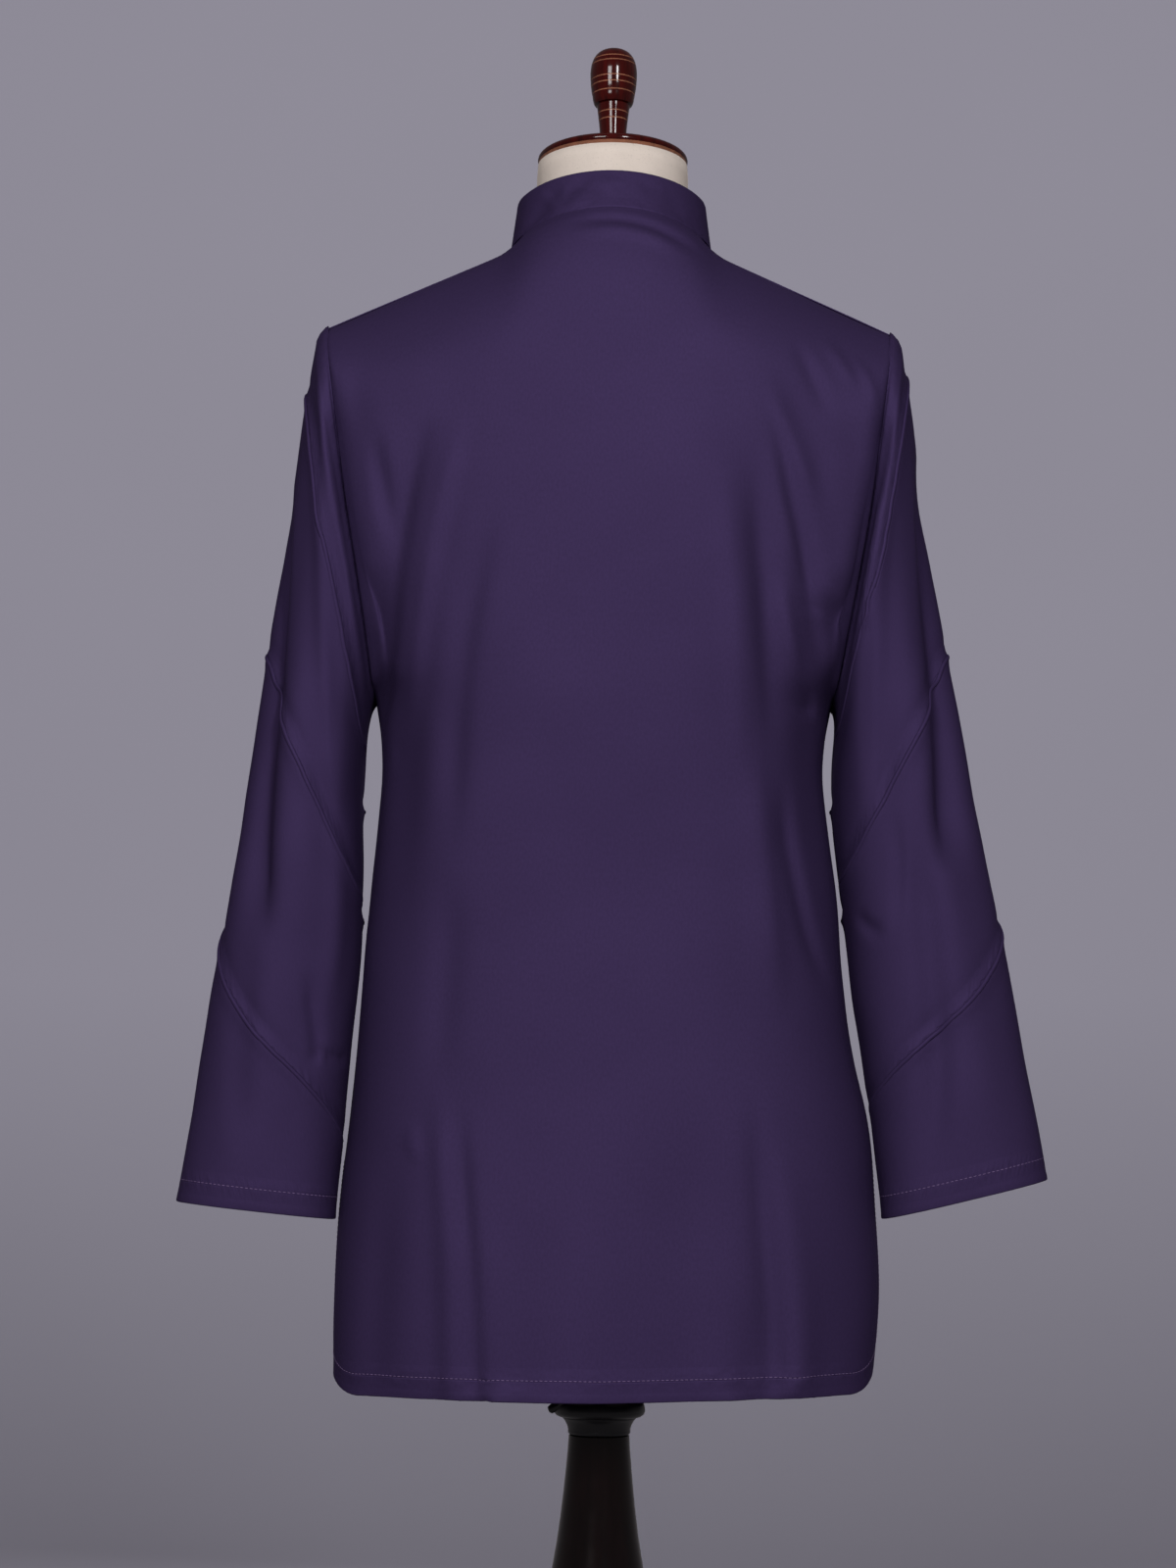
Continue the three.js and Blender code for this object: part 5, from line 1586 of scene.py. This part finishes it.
class STAND_OT_clamp(bpy.types.Operator):
    """Makes the mast clamp and its cam lever"""

    bl_idname = "stand.clamp"
    bl_label = "Clamp and lever"

    def execute(self, context):
        clamp = merged_copy("mast_clamp")
        clamp.name = "mast_clamp_cast"
        with editing(clamp):
            bpy.ops.mesh.dissolve_limited(angle_limit=math.radians(2))
            bpy.ops.mesh.normals_make_consistent(inside=False)
        corner = math.radians(40)
        finish_modifier(
            clamp, "BEVEL", width=0.9 * MM, segments=3, limit_method="ANGLE", angle_limit=corner
        )
        for piece, body, node in ((clamp, "stand", "mast_clamp"), (self.lever(), "lever", "clamp_lever")):
            settle(piece, body, finish_named("black_metal"))
            smooth_faces(piece, 32)
            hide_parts(node)
        return {"FINISHED"}

    def lever(self):
        """A round boss on the clamp's lug, with a thin rod that points down to the left."""
        middle = Vector((0, 31.8 * MM, 620 * MM))
        droop = math.radians(35)
        disc = [(1, -4.5), (6.2, -4.5), (7, -3.8), (7, 3.8), (6.2, 4.5), (3.4, 4.5), (3, 4.1), (1, 4.1)]
        boss = turned("boss", disc, 40)
        boss.rotation_euler = (-math.pi / 2, 0, 0)
        boss.location = middle
        handle = [(0.3, 0), (2.2, 0.2), (2.2, 36), (2.3, 38), (3.0, 40)]
        handle += [(3.4, 42.4), (3.3, 44.8), (2.6, 46.4), (1.2, 47), (0.3, 47)]
        rod = turned("rod", smooth_profile(handle, 0.8), 24)
        rod.rotation_euler = (0, math.pi / 2 + droop, 0)
        rod.location = middle
        for part in (boss, rod):
            make_active(part)
            bpy.ops.object.transform_apply(location=True, rotation=True, scale=True)
        return join([boss, rod], "clamp_lever_cast")


# ------------------------------------------------------------------ the stage


class STAGE_OT_studio(bpy.types.Operator):
    """Makes the plain round floor with its curved wall, the soft lights and the camera"""

    bl_idname = "stage.studio"
    bl_label = "Studio"

    def execute(self, context):
        settings = context.scene.kurta_stage
        self.make_room(settings)
        self.make_lights()
        self.make_camera(settings)
        return {"FINISHED"}

    def make_room(self, settings):
        deselect_all()
        bpy.ops.mesh.primitive_circle_add(vertices=128, radius=settings.room, fill_type="NGON")
        room = bpy.context.object
        room.name = "studio_floor"
        bend, steps, wall_height = 3.0, 20, 3.5  # the wall rises on a curve of this radius, in these steps
        with editing(room):
            bpy.ops.mesh.select_mode(type="EDGE")
            for k in range(1, steps + 1):
                angle, before = (math.pi / 2 * n / steps for n in (k, k - 1))
                rise = bend * (math.cos(before) - math.cos(angle))
                share = (settings.room + bend * math.sin(angle)) / (settings.room + bend * math.sin(before))
                self.select_rim(room)
                bpy.ops.mesh.extrude_region_move(TRANSFORM_OT_translate={"value": (0, 0, rise)})
                bpy.ops.transform.resize(value=(share, share, 1), center_override=(0, 0, 0))
            self.select_rim(room)
            bpy.ops.mesh.extrude_region_move(TRANSFORM_OT_translate={"value": (0, 0, wall_height)})
        bpy.ops.object.shade_smooth()
        room.data.materials.append(finish_named("floor"))
        room.visible_diffuse = False  # the piece is lit by the lamps and the air alone
        room.visible_glossy = False

    def select_rim(self, room):
        bpy.ops.mesh.select_all(action="DESELECT")
        bm = bmesh.from_edit_mesh(room.data)
        for edge in bm.edges:
            if edge.is_boundary:
                edge.select_set(True)
        bmesh.update_edit_mesh(room.data)

    def make_lights(self):
        middle = (0, 0, 1.1)
        lights = [  # name, place, target, size, power in watts and tint
            ("key", (-1.3, 4.0, 2.8), middle, (0.5, 1.4), 95, (0.99, 0.99, 1.0)),
            ("fill", (1.4, 4.0, 2.6), middle, (1.2, 1.6), 90, (1.0, 1.0, 1.0)),
            ("front_key", (-0.7, -3.1, 1.9), (-0.3, 0, 1.9), (0.8, 1.4), 80, (1.0, 0.985, 0.97)),
            ("front_fill", (0.7, -3.1, 1.8), (0.3, 0, 1.8), (0.6, 1.4), 60, (1.0, 1.0, 1.0)),
        ]
        wall_lamps = 6
        for side in range(wall_lamps):
            angle = 2 * math.pi * side / wall_lamps
            place = (math.sin(angle) * 0.8, math.cos(angle) * 0.8, 4.2)
            target = (math.sin(angle) * 8, math.cos(angle) * 8, 3.6)
            lights.append((f"wall_{side}", place, target, (0.8, 0.8), 72, (1.0, 1.0, 1.0)))
        for name, place, target, size, power, tint in lights:
            data = bpy.data.lights.new(name, "AREA")
            data.shape = "RECTANGLE"
            data.size, data.size_y = size
            data.energy = power
            data.color = tint
            lamp = new_object(name, data)
            lamp.location = place
            lamp.rotation_euler = (Vector(target) - Vector(place)).to_track_quat("-Z", "Y").to_euler()
            lamp.visible_camera = False
            lamp.visible_glossy = not name.startswith("front")
        world = bpy.data.worlds.new("studio_air")
        world.use_nodes = True
        air = world.node_tree.nodes["Background"]
        air.inputs["Color"].default_value = (1.0, 0.93, 0.98, 1)
        air.inputs["Strength"].default_value = 0.14
        bpy.context.scene.world = world
        bpy.context.scene.view_settings.view_transform = "Standard"

    def make_camera(self, settings):
        data = bpy.data.cameras.new("camera")
        data.lens = settings.lens
        data.sensor_width = 36
        camera = new_object("camera", data)
        camera.location = settings.eye
        ahead = Vector((0, -math.cos(settings.pitch), math.sin(settings.pitch)))
        camera.rotation_mode = "QUATERNION"
        camera.rotation_quaternion = Quaternion(-ahead, settings.roll) @ ahead.to_track_quat("-Z", "Y")
        bpy.context.scene.camera = camera


OPERATORS = (
    KURTA_OT_panels,
    KURTA_OT_sleeves,
    KURTA_OT_collar,
    KURTA_OT_placket,
    KURTA_OT_buttons,
    FORM_OT_torso,
    FORM_OT_top,
    STAND_OT_column,
    STAND_OT_clamp,
    STAGE_OT_studio,
)


class KURTA_PT_sidebar(bpy.types.Panel):
    """Lists the settings and the pieces in the sidebar"""

    bl_idname = "KURTA_PT_sidebar"
    bl_label = "Kurta"
    bl_space_type = "VIEW_3D"
    bl_region_type = "UI"
    bl_category = "Kurta"

    def draw(self, context):
        for group in (context.scene.kurta_cloth, context.scene.kurta_form, context.scene.kurta_stage):
            for name in group.bl_rna.properties.keys():
                if name not in ("rna_type", "name"):
                    self.layout.prop(group, name)
        for operator in OPERATORS:
            self.layout.operator(operator.bl_idname)


CLASSES = (ClothSettings, FormSettings, StageSettings, *OPERATORS, KURTA_PT_sidebar)


def register():
    for cls in CLASSES:
        bpy.utils.register_class(cls)
    bpy.types.Scene.kurta_cloth = PointerProperty(type=ClothSettings)
    bpy.types.Scene.kurta_form = PointerProperty(type=FormSettings)
    bpy.types.Scene.kurta_stage = PointerProperty(type=StageSettings)


def unregister():
    del bpy.types.Scene.kurta_cloth
    del bpy.types.Scene.kurta_form
    del bpy.types.Scene.kurta_stage
    for cls in reversed(CLASSES):
        bpy.utils.unregister_class(cls)


def main():
    register()
    for operator in OPERATORS:
        group, name = operator.bl_idname.split(".")
        getattr(getattr(bpy.ops, group), name)()


if __name__ == "__main__":
    main()
